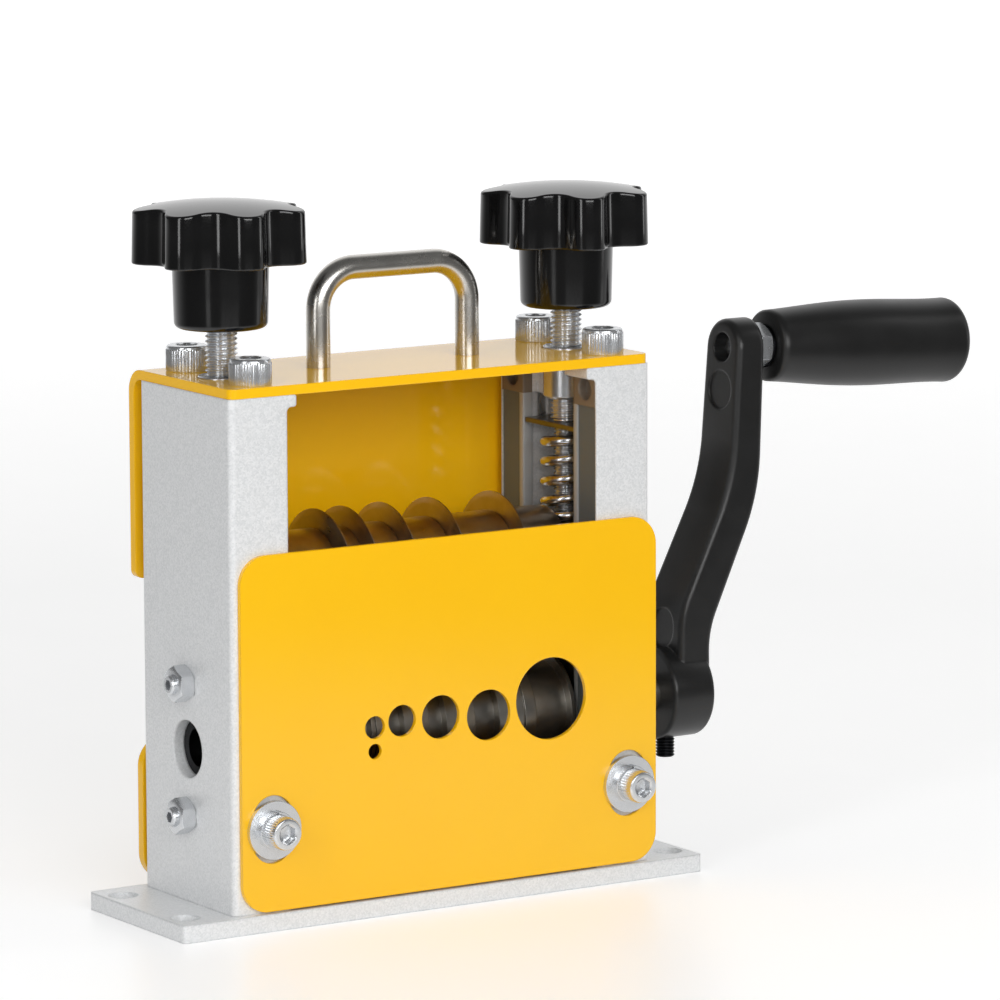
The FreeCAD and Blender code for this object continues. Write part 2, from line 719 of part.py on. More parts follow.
def block_lock_nuts():
    return group([hex_nut(nut_m6_across, nut_m6_thickness, m6_thread_radius,
                          Vector(s * half_body, 0, roller_axis_z + t * set_screw_offset_z),
                          Vector(s, 0, 0), 0)
                  for s in (-1, 1) for t in (-1, 1)])


def feed_roller():
    """Turned roller: ridges under the blades, each with a score line, and grooves between them."""
    low = roller_radius - roller_groove_depth
    points = [(shaft_radius, -roller_half)]
    cuts = [(flange_end - far, flange_end - near, low) for near, far in roller_grooves]
    cuts += [(x - score_width / 2, x + score_width / 2, roller_radius - score_depth)
             for x in blade_stations]
    points.append((roller_radius - 1, -roller_half))
    points.append((roller_radius, -roller_half + 1))
    for start, end, floor in sorted(cuts):
        points += [(roller_radius, start), (floor, start), (floor, end), (roller_radius, end)]
    points += [(roller_radius, roller_half - 0.5), (roller_radius - 0.5, roller_half),
               (shaft_radius, roller_half)]
    roller = revolve_profile(points, Vector(0, 0, roller_axis_z), X_AXIS)
    return roller.cut(roller_pin())


def roller_pin():
    """Pin through the roller and its shaft."""
    reach = roller_radius - roller_groove_depth
    return cyl_z(roller_pin_radius, roller_axis_z - reach, roller_axis_z + reach, roller_pin_x)


def roller_shaft():
    start = -web_inner + shaft_left_end_gap
    shaft = cyl_x(shaft_radius, start, hub_outer_x, 0, roller_axis_z)
    shaft = shaft.makeChamfer(0.8, end_edges(shaft, X_AXIS, start) + end_edges(shaft, X_AXIS, hub_outer_x))
    shaft = shaft.cut(roller_pin())
    return shaft.cut(cyl_x(end_screw_radius, hub_outer_x - end_screw_depth, hub_outer_x + 1, 0,
                           roller_axis_z))


def droop(shape):
    """Turn a shape laid along X at the spindle's height down into the spindle's direction."""
    shape.rotate(Vector(arm_outer_x, 0, spindle_axis_z), Y_AXIS, grip_droop)
    return shape


def rounded_line(points, radii):
    """Straight runs between the points, with a tangent arc at each inner one."""
    edges = []
    here = points[0]
    for before, corner, following, radius in zip(points, points[1:], points[2:], radii):
        arrive = (corner - before).normalize()
        leave = (following - corner).normalize()
        half = arrive.getAngle(leave) / 2
        reach = radius * math.tan(half)
        inward = (leave - arrive).normalize()
        start = corner - arrive * reach
        end = corner + leave * reach
        middle = corner + inward * (radius / math.cos(half) - radius)
        edges += [Part.LineSegment(here, start).toShape(), Part.Arc(start, middle, end).toShape()]
        here = end
    return edges + [Part.LineSegment(here, points[-1]).toShape()]


def arm_line(foot_x, offset, bends, top_x):
    """One side of the S-shaped arm, from the roller axis up past the spindle."""
    high = Vector(foot_x + offset, 0, roller_axis_z + bends[1])
    spindle = Vector(top_x, 0, spindle_axis_z)
    beyond = spindle + (spindle - high).normalize() * arm_top_width
    points = [Vector(foot_x, 0, roller_axis_z), Vector(foot_x, 0, roller_axis_z + bends[0]), high, beyond]
    return rounded_line(points, (arm_low_bend_radius, arm_high_bend_radius)), points[0], beyond


def arm_band():
    """S-shaped strip: the side view of the arm, thicker at the foot than at the top."""
    inner, inner_foot, inner_head = arm_line(arm_foot_inner_x, arm_inner_offset, arm_inner_bends,
                                             arm_top_inner_x)
    outer, outer_foot, outer_head = arm_line(arm_foot_outer_x, arm_outer_offset, arm_outer_bends,
                                             arm_outer_x)
    wire = Part.Wire(inner + [Part.LineSegment(inner_head, outer_head).toShape()] + outer[::-1]
                     + [Part.LineSegment(outer_foot, inner_foot).toShape()])
    face = Part.Face(wire)
    face.translate(Vector(0, -hub_radius, 0))
    return face.extrude(Vector(0, 2 * hub_radius, 0))


def arm_outline():
    """Front view of the arm: a shank that narrows upwards into a tangent round head."""
    x0 = hub_inner_x - 1
    x1 = arm_outer_x + 5
    foot = arm_foot_width / 2
    head = arm_top_width / 2
    lean = math.acos(head / math.hypot(foot, crank_throw)) - math.atan2(crank_throw, foot)
    touch_y = head * math.cos(lean)
    touch_z = spindle_axis_z + head * math.sin(lean)
    points = [Vector(x0, -foot, roller_axis_z), Vector(x0, foot, roller_axis_z),
              Vector(x0, touch_y, touch_z), Vector(x0, -touch_y, touch_z)]
    shank = Part.Face(Part.makePolygon(points + points[:1])).extrude(Vector(x1 - x0, 0, 0))
    return shank.fuse(cyl_x(head, x0, x1, 0, spindle_axis_z)).removeSplitter()


def arm_mark(x, z, lean, depth):
    """Round shallow recess in the arm's inner face."""
    slope = math.radians(lean)
    inward = Vector(math.cos(slope), 0, -math.sin(slope))
    centre = Vector(x, 0, z)
    return cyl(arm_mark_radius, centre - inward * 3, centre + inward * depth)


def crank_arm():
    arm = arm_band().common(arm_outline()).removeSplitter()
    long_edges = []
    for edge in arm.Edges:
        middle = edge.valueAt((edge.FirstParameter + edge.LastParameter) / 2)
        bounds = edge.BoundBox
        beside = abs(middle.y) > 0.45 * arm_top_width and bounds.ZLength > 1
        over = middle.z > spindle_axis_z + arm_top_width / 4 and bounds.YLength > 1
        if beside or over:
            long_edges.append(edge)
    arm = arm.makeFillet(arm_edge_radius, long_edges)
    hub = cyl_x(hub_radius, hub_inner_x, hub_outer_x, 0, roller_axis_z)
    hub = hub.makeFillet(1.2, end_edges(hub, X_AXIS, hub_inner_x) + end_edges(hub, X_AXIS, hub_outer_x))
    arm = arm.fuse(hub).removeSplitter()
    arm = arm.cut(cyl_x(shaft_radius, hub_inner_x - 1, hub_outer_x + 1, 0, roller_axis_z))
    arm = arm.cut(cyl_x(end_spot_face_radius, hub_outer_x, arm_outer_x, 0, roller_axis_z))
    arm = arm.cut(droop(cyl_x(spindle_radius, arm_top_inner_x - 5, arm_outer_x + 5, 0, spindle_axis_z)))
    arm = arm.cut(droop(cyl_x(spindle_hole_radius, arm_top_inner_x - 5, arm_top_inner_x + spindle_recess,
                              0, spindle_axis_z)))
    arm = arm.cut(cyl_z(m6_thread_radius, roller_axis_z - hub_radius - 1, roller_axis_z - shaft_radius + 1,
                        hub_screw_x))
    rise = crank_throw - arm_inner_bends[1]
    slope = (arm_top_inner_x - arm_foot_inner_x - arm_inner_offset) / rise
    arm = arm.cut(arm_mark(arm_top_inner_x - slope * arm_upper_mark_drop,
                           spindle_axis_z - arm_upper_mark_drop, math.degrees(math.atan(slope)),
                           arm_mark_depth))
    return arm.cut(arm_mark(arm_foot_inner_x, arm_lower_mark_z, arm_lower_mark_lean,
                            1.5 * arm_mark_depth))


def hub_set_screw():
    top = roller_axis_z - shaft_radius
    screw = threaded_bar(m6_thread_radius, 1.0, top - hub_screw_length, top, hub_screw_x, depth=0.4)
    return screw.cut(hex_prism(3.0, Vector(hub_screw_x, 0, top - hub_screw_length - 1),
                               Vector(hub_screw_x, 0, top - hub_screw_length + 3)))


def hub_end_washer():
    ring = cyl_x(end_washer_radius, hub_outer_x, hub_outer_x + end_washer_thickness, 0, roller_axis_z)
    return ring.cut(cyl_x(end_screw_radius, hub_outer_x - 1, hub_outer_x + 3, 0, roller_axis_z))


def hub_end_screw():
    seat = Vector(hub_outer_x + end_washer_thickness, 0, roller_axis_z)
    return socket_screw(end_screw_radius, end_screw_depth, end_screw_head_radius, end_screw_head_height,
                        3.0, seat, X_AXIS)


def grip_spindle():
    """Shoulder bar: one end in the arm, the other ends under the grip's cap."""
    start = arm_top_inner_x + spindle_recess
    bar = cyl_x(spindle_radius, start, grip_end - grip_cap_thickness - grip_cap_gap, 0, spindle_axis_z)
    collar = cyl_x(grip_cap_radius - 0.6, grip_end - grip_cap_thickness - grip_cap_gap - 2.5,
                   grip_end - grip_cap_thickness - grip_cap_gap, 0, spindle_axis_z)
    return droop(bar.fuse(collar).removeSplitter())


def spindle_nut():
    return droop(hex_nut(nut_m8_across, nut_m8_thickness, spindle_radius,
                         Vector(arm_outer_x, 0, spindle_axis_z), X_AXIS, 0))


def spindle_washer():
    x0 = arm_outer_x + nut_m8_thickness
    ring = cyl_x(spindle_washer_radius, x0, x0 + spindle_washer_thickness, 0, spindle_axis_z)
    return droop(ring.cut(cyl_x(spindle_radius, x0 - 1, x0 + 3, 0, spindle_axis_z)))


def grip_sleeve():
    """Barrel-shaped grip that turns on the spindle; its outline is a smooth curve."""
    length = grip_length
    stations = ((0.0, grip_start_radius), (0.16, grip_start_radius + 0.9), (0.42, grip_belly_radius),
                (0.72, grip_belly_radius - 0.05), (1.0 - grip_edge_radius / length, grip_end_radius))
    curve = Part.BSplineCurve()
    curve.interpolate([Vector(grip_start + share * length, radius, 0) for share, radius in stations])
    shoulder = Vector(grip_end - grip_edge_radius, grip_end_radius, 0)
    root = math.sqrt(0.5)
    arc_mid = Vector(grip_end - grip_edge_radius * (1 - root),
                     grip_end_radius - grip_edge_radius * (1 - root), 0)
    rim = Vector(grip_end, grip_end_radius - grip_edge_radius, 0)
    first = Vector(grip_start, grip_start_radius, 0)
    edges = [curve.toShape(), Part.Arc(shoulder, arc_mid, rim).toShape(),
             Part.LineSegment(rim, Vector(grip_end, 0, 0)).toShape(),
             Part.LineSegment(Vector(grip_end, 0, 0), Vector(grip_start, 0, 0)).toShape(),
             Part.LineSegment(Vector(grip_start, 0, 0), first).toShape()]
    sleeve = Part.Face(Part.Wire(edges)).revolve(Vector(0, 0, 0), X_AXIS, 360)
    sleeve.translate(Vector(0, 0, spindle_axis_z))
    bore = cyl_x(spindle_radius + grip_bore_clearance, grip_start - 1, grip_end + 1, 0, spindle_axis_z)
    pocket_depth = grip_cap_thickness + grip_cap_gap + 2.5 + clearance
    pocket = cyl_x(grip_cap_radius, grip_end - pocket_depth, grip_end + 1, 0, spindle_axis_z)
    return droop(sleeve.cut(bore).cut(pocket))


def grip_end_cap():
    return droop(cyl_x(grip_cap_radius, grip_end - grip_cap_thickness, grip_end, 0, spindle_axis_z))


# ---- upper shaft ----
def slide_block(side):
    """Bearing block that slides in the channel and carries one end of the arbor."""
    half = channel_half - slide_clearance_y
    block = box(side * block_inner, side * (web_inner - clearance), -half, half,
                upper_block_bottom, upper_block_top)
    block = block.makeChamfer(0.6, end_edges(block, Z_AXIS, upper_block_bottom))
    block = block.cut(cyl_x(arbor_bush_radius, side * (block_inner - 1), side * (web_inner + 1), 0,
                            arbor_axis_z))
    for t in (-1, 1):
        block = block.cut(cyl_z(float_bolt_radius, upper_block_top - float_bolt_thread_depth,
                                upper_block_top + 1, side * float_bolt_x, t * float_bolt_offset))
    return block


def arbor_bush(side):
    tube = cyl_x(arbor_bush_radius, side * block_inner, side * (web_inner - clearance), 0, arbor_axis_z)
    return tube.cut(cyl_x(arbor_radius + journal_clearance, side * (block_inner - 1),
                          side * (web_inner + 1), 0, arbor_axis_z))


def float_bolts(side):
    """Two thin bolts, fixed in the slide block, that slide through the spring seat."""
    bolts = []
    for t in (-1, 1):
        x = side * float_bolt_x
        y = t * float_bolt_offset
        shank = cyl_z(float_bolt_radius, upper_block_top - float_bolt_thread_depth,
                      spring_seat_top - float_bolt_head_height, x, y)
        head = cyl_z(float_bolt_head_radius, spring_seat_top - float_bolt_head_height,
                     spring_seat_top, x, y)
        bolts.append(shank.fuse(head).removeSplitter())
    return group(bolts)


def blade_shaft():
    end = web_inner - arbor_end_gap
    shaft = cyl_x(arbor_radius, -end, end, 0, arbor_axis_z)
    shaft = shaft.makeChamfer(0.6, end_edges(shaft, X_AXIS, -end) + end_edges(shaft, X_AXIS, end))
    return shaft.cut(group(ring_spaces()))


def ring_spaces():
    spaces = []
    for s in (-1, 1):
        outer = cyl_x(arbor_radius + 1, s * arbor_stack_half, s * (arbor_stack_half + ring_thickness), 0,
                      arbor_axis_z)
        inner = cyl_x(arbor_radius - ring_groove_depth, s * (arbor_stack_half - 1),
                      s * (arbor_stack_half + ring_thickness + 1), 0, arbor_axis_z)
        spaces.append(outer.cut(inner))
    return spaces


def arbor_retaining_rings():
    """External retaining rings, open below."""
    rings = []
    for s in (-1, 1):
        x0, x1 = s * arbor_stack_half, s * (arbor_stack_half + ring_thickness)
        ring = cyl_x(ring_radius, x0, x1, 0, arbor_axis_z)
        ring = ring.cut(cyl_x(arbor_radius - ring_groove_depth, x0 - 2, x1 + 2, 0, arbor_axis_z))
        gap = box(x0, x1, -1.6, 1.6, arbor_axis_z - ring_radius - 1, arbor_axis_z)
        rings.append(ring.cut(gap))
    return group(rings)


def disc_blade(x):
    """Disc with a double bevel at its edge."""
    half = blade_thickness / 2
    points = [(arbor_radius, -half), (blade_radius - blade_bevel, -half),
              (blade_radius, -blade_edge_half), (blade_radius, blade_edge_half),
              (blade_radius - blade_bevel, half), (arbor_radius, half)]
    return revolve_profile(points, Vector(x, 0, arbor_axis_z), X_AXIS)


def arbor_spacers():
    """Sleeves that set the blades on their stations."""
    half = blade_thickness / 2
    starts = [-arbor_stack_half] + [x + half for x in blade_stations]
    ends = [x - half for x in blade_stations] + [arbor_stack_half]
    sleeves = []
    for start, end in zip(starts, ends):
        points = [(arbor_radius, start), (arbor_spacer_radius - 0.4, start),
                  (arbor_spacer_radius, start + 0.4), (arbor_spacer_radius, end - 0.4),
                  (arbor_spacer_radius - 0.4, end), (arbor_radius, end)]
        sleeves.append(revolve_profile(points, Vector(0, 0, arbor_axis_z), X_AXIS))
    return group(sleeves)


# ---- adjusters ----
def spring_seat(side):
    """Plate in the channel, clear of its walls, that the screw presses down on."""
    x = side * adjuster_x
    half = channel_half - clearance
    plate = box(side * block_inner, side * (web_inner - clearance), -half, half, spring_top,
                spring_seat_top)
    plate = plate.cut(cyl_z(spring_rod_radius, spring_top - 1, spring_seat_top + 1, x))
    for t in (-1, 1):
        y = t * float_bolt_offset
        plate = plate.cut(cyl_z(float_bolt_radius + float_bolt_clearance, spring_top - 1,
                                spring_seat_top + 1, side * float_bolt_x, y))
        plate = plate.cut(cyl_z(float_bolt_head_radius + float_bolt_clearance,
                                spring_seat_top - float_bolt_head_height, spring_seat_top + 1,
                                side * float_bolt_x, y))
    return plate


def spring_rod(side):
    """Threaded rod fixed in the seat; it centres the spring."""
    x = side * adjuster_x
    plain = cyl_z(spring_rod_radius, spring_top, spring_seat_top, x)
    thread = threaded_bar(spring_rod_radius, spring_rod_pitch, upper_block_top + spring_rod_end_gap,
                          spring_top, x, depth=0.5)
    return plain.fuse(thread).removeSplitter()


def coil_spring(side):
    """Open-coiled compression spring between its seat and the slide block."""
    lift = spring_wire_radius + spring_seating
    start = upper_block_top + lift
    height = spring_top - upper_block_top - 2 * lift
    helix = Part.makeHelix(spring_pitch, height, spring_mean_radius)
    helix.translate(Vector(0, 0, start))
    slope = math.atan2(spring_pitch, 2 * math.pi * spring_mean_radius)
    ring = Part.Wire(Part.makeCircle(spring_wire_radius, Vector(spring_mean_radius, 0, start),
                                     Vector(0, math.cos(slope), math.sin(slope))))
    coil = Part.Wire(helix).makePipeShell([ring], True, True)
    coil.translate(Vector(side * adjuster_x, 0, 0))
    return coil


def adjusting_screw(side, knob_bottom):
    x = side * adjuster_x
    thread_top = knob_bottom + knob_thread_entry
    thread = threaded_bar(adjuster_screw_radius, adjuster_pitch, spring_seat_top + 0.9, thread_top, x)
    nose = Part.makeCone(adjuster_screw_radius - thread_depth - 0.6, adjuster_screw_radius - thread_depth,
                         0.9, Vector(x, 0, spring_seat_top))
    shank = cyl_z(adjuster_screw_radius - thread_depth, thread_top, knob_bottom + knob_screw_depth, x)
    return thread.fuse(nose).fuse(shank).removeSplitter()


def knob_outline():
    """Star of tangent arcs: lobes curve outwards and valleys inwards, all about the Z axis."""
    step = 2 * math.pi / knob_lobes
    cos_half = math.cos(step / 2)
    reach = knob_radius - knob_lobe_curve
    valley_curve = ((knob_lobe_curve ** 2 - reach ** 2 - knob_hollow_radius ** 2
                     + 2 * reach * knob_hollow_radius * cos_half)
                    / (2 * (knob_hollow_radius - reach * cos_half - knob_lobe_curve)))
    share = knob_lobe_curve / (knob_lobe_curve + valley_curve)

    def polar(radius, angle):
        return Vector(radius * math.cos(angle), radius * math.sin(angle), 0)

    edges = []
    for k in range(knob_lobes):
        angle = (k + 0.5) * step
        lobe = polar(reach, angle)
        before = polar(knob_hollow_radius + valley_curve, angle - step / 2)
        after = polar(knob_hollow_radius + valley_curve, angle + step / 2)
        following = polar(reach, angle + step)
        start = lobe + (before - lobe) * share
        end = lobe + (after - lobe) * share
        next_start = following + (after - following) * share
        edges.append(Part.Arc(start, polar(knob_radius, angle), end).toShape())
        edges.append(Part.Arc(end, polar(knob_hollow_radius, angle + step / 2), next_start).toShape())
    return Part.Face(Part.Wire(edges))


def knob(side, bottom, valley_angle):
    """Star knob with a domed top and a tapered boss."""
    star = knob_outline().extrude(Vector(0, 0, knob_rim_height + knob_dome_height))
    star.translate(Vector(0, 0, knob_boss_height))
    top = knob_boss_height + knob_rim_height + knob_dome_height
    dome_radius = (knob_radius ** 2 + knob_dome_height ** 2) / (2 * knob_dome_height)
    star = star.common(Part.makeSphere(dome_radius, Vector(0, 0, top - dome_radius)))
    lower = [e for e in star.Edges if abs(e.BoundBox.ZMax - knob_boss_height) < 1e-6]
    star = star.makeFillet(knob_rim_edge, lower)
    boss = Part.makeCone(knob_boss_radius - knob_boss_taper, knob_boss_radius, knob_boss_height)
    boss = boss.makeFillet(knob_boss_edge, end_edges(boss, Z_AXIS, 0))
    body = star.fuse(boss).removeSplitter()
    body = body.cut(cyl_z(adjuster_screw_radius - thread_depth, knob_thread_entry - 1, knob_screw_depth))
    body = body.cut(cyl_z(adjuster_screw_radius, -1, knob_thread_entry))
    body.rotate(Vector(0, 0, 0), Z_AXIS, valley_angle)
    body.translate(Vector(side * adjuster_x, 0, bottom))
    return body


nodes = {
    "base_plate": base_plate(),
    "column_base_screws": column_base_screws(),
    "top_cover": top_cover(),
    "cover_screws": cover_screws(),
    "carry_handle": carry_handle(),
    "handle_screws": handle_screws(),
    "front_guide_plate": front_guide_plate(),
    "guide_screws": guide_screws(),
    "guide_washers": guide_washers(),
    "guide_spring_washers": guide_spring_washers(),
    "rear_guard_plate": rear_guard_plate(),
    "rear_guard_screws": rear_guard_screws(),
    "rear_guard_spacers": rear_guard_spacers(),
    "block_set_screws": block_set_screws(),
    "block_lock_nuts": block_lock_nuts(),
    "feed_roller": feed_roller(),
    "roller_shaft": roller_shaft(),
    "roller_pin": roller_pin(),
    "crank_arm": crank_arm(),
    "hub_set_screw": hub_set_screw(),
    "hub_end_washer": hub_end_washer(),
    "hub_end_screw": hub_end_screw(),
    "grip_spindle": grip_spindle(),
    "spindle_nut": spindle_nut(),
    "spindle_washer": spindle_washer(),
    "grip_sleeve": grip_sleeve(),
    "grip_end_cap": grip_end_cap(),
    "blade_shaft": blade_shaft(),
    "arbor_spacers": arbor_spacers(),
    "arbor_retaining_rings": arbor_retaining_rings(),
}
for number, station in enumerate(blade_stations, start=1):
    nodes[f"blade_{number}"] = disc_blade(station)
knob_heights = {"left": knob_height_left, "right": knob_height_right}
knob_angles = {"left": knob_valley_angle_left, "right": knob_valley_angle_right}
for name, sign in SIDES:
    nodes[f"{name}_column"] = column(sign)
    nodes[f"{name}_thread_bush"] = thread_bush(sign)
    nodes[f"{name}_roller_block"] = roller_block(sign)
    nodes[f"{name}_roller_bush"] = roller_bush(sign)
    nodes[f"{name}_slide_block"] = slide_block(sign)
    nodes[f"{name}_arbor_bush"] = arbor_bush(sign)
    nodes[f"{name}_float_bolts"] = float_bolts(sign)
    nodes[f"{name}_spring_seat"] = spring_seat(sign)
    nodes[f"{name}_spring_rod"] = spring_rod(sign)
    nodes[f"{name}_spring"] = coil_spring(sign)
    nodes[f"{name}_adjusting_screw"] = adjusting_screw(sign, knob_heights[name])
    nodes[f"{name}_knob"] = knob(sign, knob_heights[name], knob_angles[name])

os.makedirs("parts", exist_ok=True)
for node, shape in nodes.items():
    shape.exportStep(f"parts/{node}.step")
    print(node, "solids", len(shape.Solids), "volume", round(shape.Volume, 1), "valid", shape.isValid())
print("nodes", len(nodes))
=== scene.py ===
import json
import math
import bpy
import bmesh
import numpy as np
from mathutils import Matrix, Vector


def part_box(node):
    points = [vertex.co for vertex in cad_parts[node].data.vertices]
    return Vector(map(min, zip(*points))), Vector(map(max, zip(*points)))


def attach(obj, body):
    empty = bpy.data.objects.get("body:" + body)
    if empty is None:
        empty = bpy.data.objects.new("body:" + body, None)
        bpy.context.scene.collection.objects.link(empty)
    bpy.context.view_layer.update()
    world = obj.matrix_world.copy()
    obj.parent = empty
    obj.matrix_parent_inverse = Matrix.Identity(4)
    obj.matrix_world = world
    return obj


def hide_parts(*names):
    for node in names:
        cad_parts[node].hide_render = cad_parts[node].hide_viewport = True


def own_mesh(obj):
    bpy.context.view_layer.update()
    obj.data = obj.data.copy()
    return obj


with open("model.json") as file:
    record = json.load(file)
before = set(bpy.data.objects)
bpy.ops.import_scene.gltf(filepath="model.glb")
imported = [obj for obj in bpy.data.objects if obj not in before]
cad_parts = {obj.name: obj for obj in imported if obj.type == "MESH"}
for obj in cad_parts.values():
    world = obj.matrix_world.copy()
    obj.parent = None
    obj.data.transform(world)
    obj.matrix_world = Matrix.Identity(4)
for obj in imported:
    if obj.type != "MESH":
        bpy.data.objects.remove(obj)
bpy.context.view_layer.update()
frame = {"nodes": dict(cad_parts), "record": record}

mm = 0.001
weldMm = 0.001      # corners nearer than this are one corner when a piece is shaded
closeMm = 0.0005    # the same when a grid of points becomes a mesh
nodes = frame["nodes"]
bodyOf = {node: body for body, members in frame["record"]["behaviour"]["bodies"].items()
          for node in members}
slotOf = {part["node"]: part["material_slot"] for part in frame["record"]["subparts"]}
print("frame loaded:", len(nodes), "nodes")


def linearColour(hexCode):
    # sRGB hex to linear: c/12.92 near black, ((c+0.055)/1.055)^2.4 above it
    parts = [int(hexCode.lstrip("#")[k:k + 2], 16) / 255 for k in (0, 2, 4)]
    return [c / 12.92 if c <= 0.04045 else ((c + 0.055) / 1.055) ** 2.4 for c in parts] + [1.0]


def perMm(size):
    # scale of a pattern that repeats about once in this many millimetres
    return 1.0 / (size * mm)


def addNode(tree, kind, **settings):
    # one node; a setting is an attribute or an input (in_2 is the third input), and an output socket
    # given for an input is linked to it
    node = tree.nodes.new(kind)
    for key, value in settings.items():
        key = key.replace("_", " ") if not hasattr(node, key) else key
        if key.startswith("in "):
            key = int(key[3:])
        if isinstance(key, str) and hasattr(node, key) and key not in node.inputs:
            setattr(node, key, value)
        elif isinstance(value, bpy.types.NodeSocket):
            tree.links.new(value, node.inputs[key])
        else:
            node.inputs[key].default_value = value
    return node


# shading of every piece: near corners are welded, and an edge is kept sharp where its faces meet at more
# than the set angle
def edgeShading(degrees):
    tree = bpy.data.node_groups.new("edgeShading%d" % degrees, "GeometryNodeTree")
    tree.interface.new_socket("Geometry", in_out="INPUT", socket_type="NodeSocketGeometry")
    tree.interface.new_socket("Geometry", in_out="OUTPUT", socket_type="NodeSocketGeometry")
    start = addNode(tree, "NodeGroupInput")
    bare = addNode(tree, "GeometryNodeRemoveAttribute", Geometry=start.outputs[0], Name="custom_normal")
    welded = addNode(tree, "GeometryNodeMergeByDistance", Geometry=bare.outputs[0], Distance=weldMm * mm)
    bend = addNode(tree, "GeometryNodeInputMeshEdgeAngle")
    gentle = addNode(tree, "FunctionNodeCompare", operation="LESS_THAN",
                     in_0=bend.outputs["Unsigned Angle"], in_1=math.radians(degrees))
    faces = addNode(tree, "GeometryNodeSetShadeSmooth", Geometry=welded.outputs[0], in_2=True)
    edges = addNode(tree, "GeometryNodeSetShadeSmooth", domain="EDGE", Geometry=faces.outputs[0],
                    in_2=gentle.outputs[0])
    addNode(tree, "NodeGroupOutput", Geometry=edges.outputs[0])
    return tree


shading = {"machined": edgeShading(32), "moulded": edgeShading(50)}


def shadeEdges(piece, kind="machined"):
    piece.modifiers.new("edge shading", "NODES").node_group = shading[kind]


def newMaterial(name):
    material = bpy.data.materials.new(name)
    material.use_nodes = True
    tree = material.node_tree
    tree.nodes.clear()
    place = addNode(tree, "ShaderNodeTexCoord").outputs["Object"]
    return material, tree, place


def finishMaterial(tree, surface):
    addNode(tree, "ShaderNodeOutputMaterial", Surface=surface.outputs[0])


def speckle(tree, place, size, detail=2.0):
    # soft noise with one patch in about this many millimetres
    return addNode(tree, "ShaderNodeTexNoise", Vector=place, Scale=perMm(size), Detail=detail).outputs["Fac"]


def between(tree, amount, low, high):
    # a number from low to high as amount goes from 0 to 1
    return addNode(tree, "ShaderNodeMapRange", Value=amount, To_Min=low, To_Max=high).outputs[0]


def tint(tree, amount, first, second):
    # a colour from first to second as amount goes from 0 to 1
    return addNode(tree, "ShaderNodeMix", data_type="RGBA", in_0=amount, in_6=first, in_7=second).outputs[2]


def reckon(tree, operation, *values):
    # one sum, product or comparison of numbers
    inputs = {"in_%d" % k: value for k, value in enumerate(values)}
    return addNode(tree, "ShaderNodeMath", operation=operation, **inputs).outputs[0]


def relief(tree, height, depth, edge):
    # bump of this depth in millimetres over edges rounded by this radius in millimetres
    rounded = addNode(tree, "ShaderNodeBevel", samples=6, Radius=edge * mm)
    return addNode(tree, "ShaderNodeBump", Height=height, Distance=depth * mm, Strength=1.0,
                   Normal=rounded.outputs[0]).outputs[0]


# yellow polyester powder coat on folded steel: a smooth gloss film, thick at its edges, with a faint
# orange peel
def yellowPowderCoat():
    look = {"colour": "#ffc613", "deep": "#fdc00f", "driftMm": 40.0, "peelMm": 1.7, "peelDepth": 0.010,
            "edge": 0.5, "roughness": 0.10, "ior": 1.55}
    material, tree, place = newMaterial("yellow powder coat")
    peel = speckle(tree, place, look["peelMm"], detail=1.0)
    drift = speckle(tree, place, look["driftMm"])
    colour = tint(tree, drift, linearColour(look["deep"]), linearColour(look["colour"]))
    shader = addNode(tree, "ShaderNodeBsdfPrincipled", Base_Color=colour, Roughness=look["roughness"],
                     IOR=look["ior"], Normal=relief(tree, peel, look["peelDepth"], look["edge"]))
    finishMaterial(tree, shader)
    return material


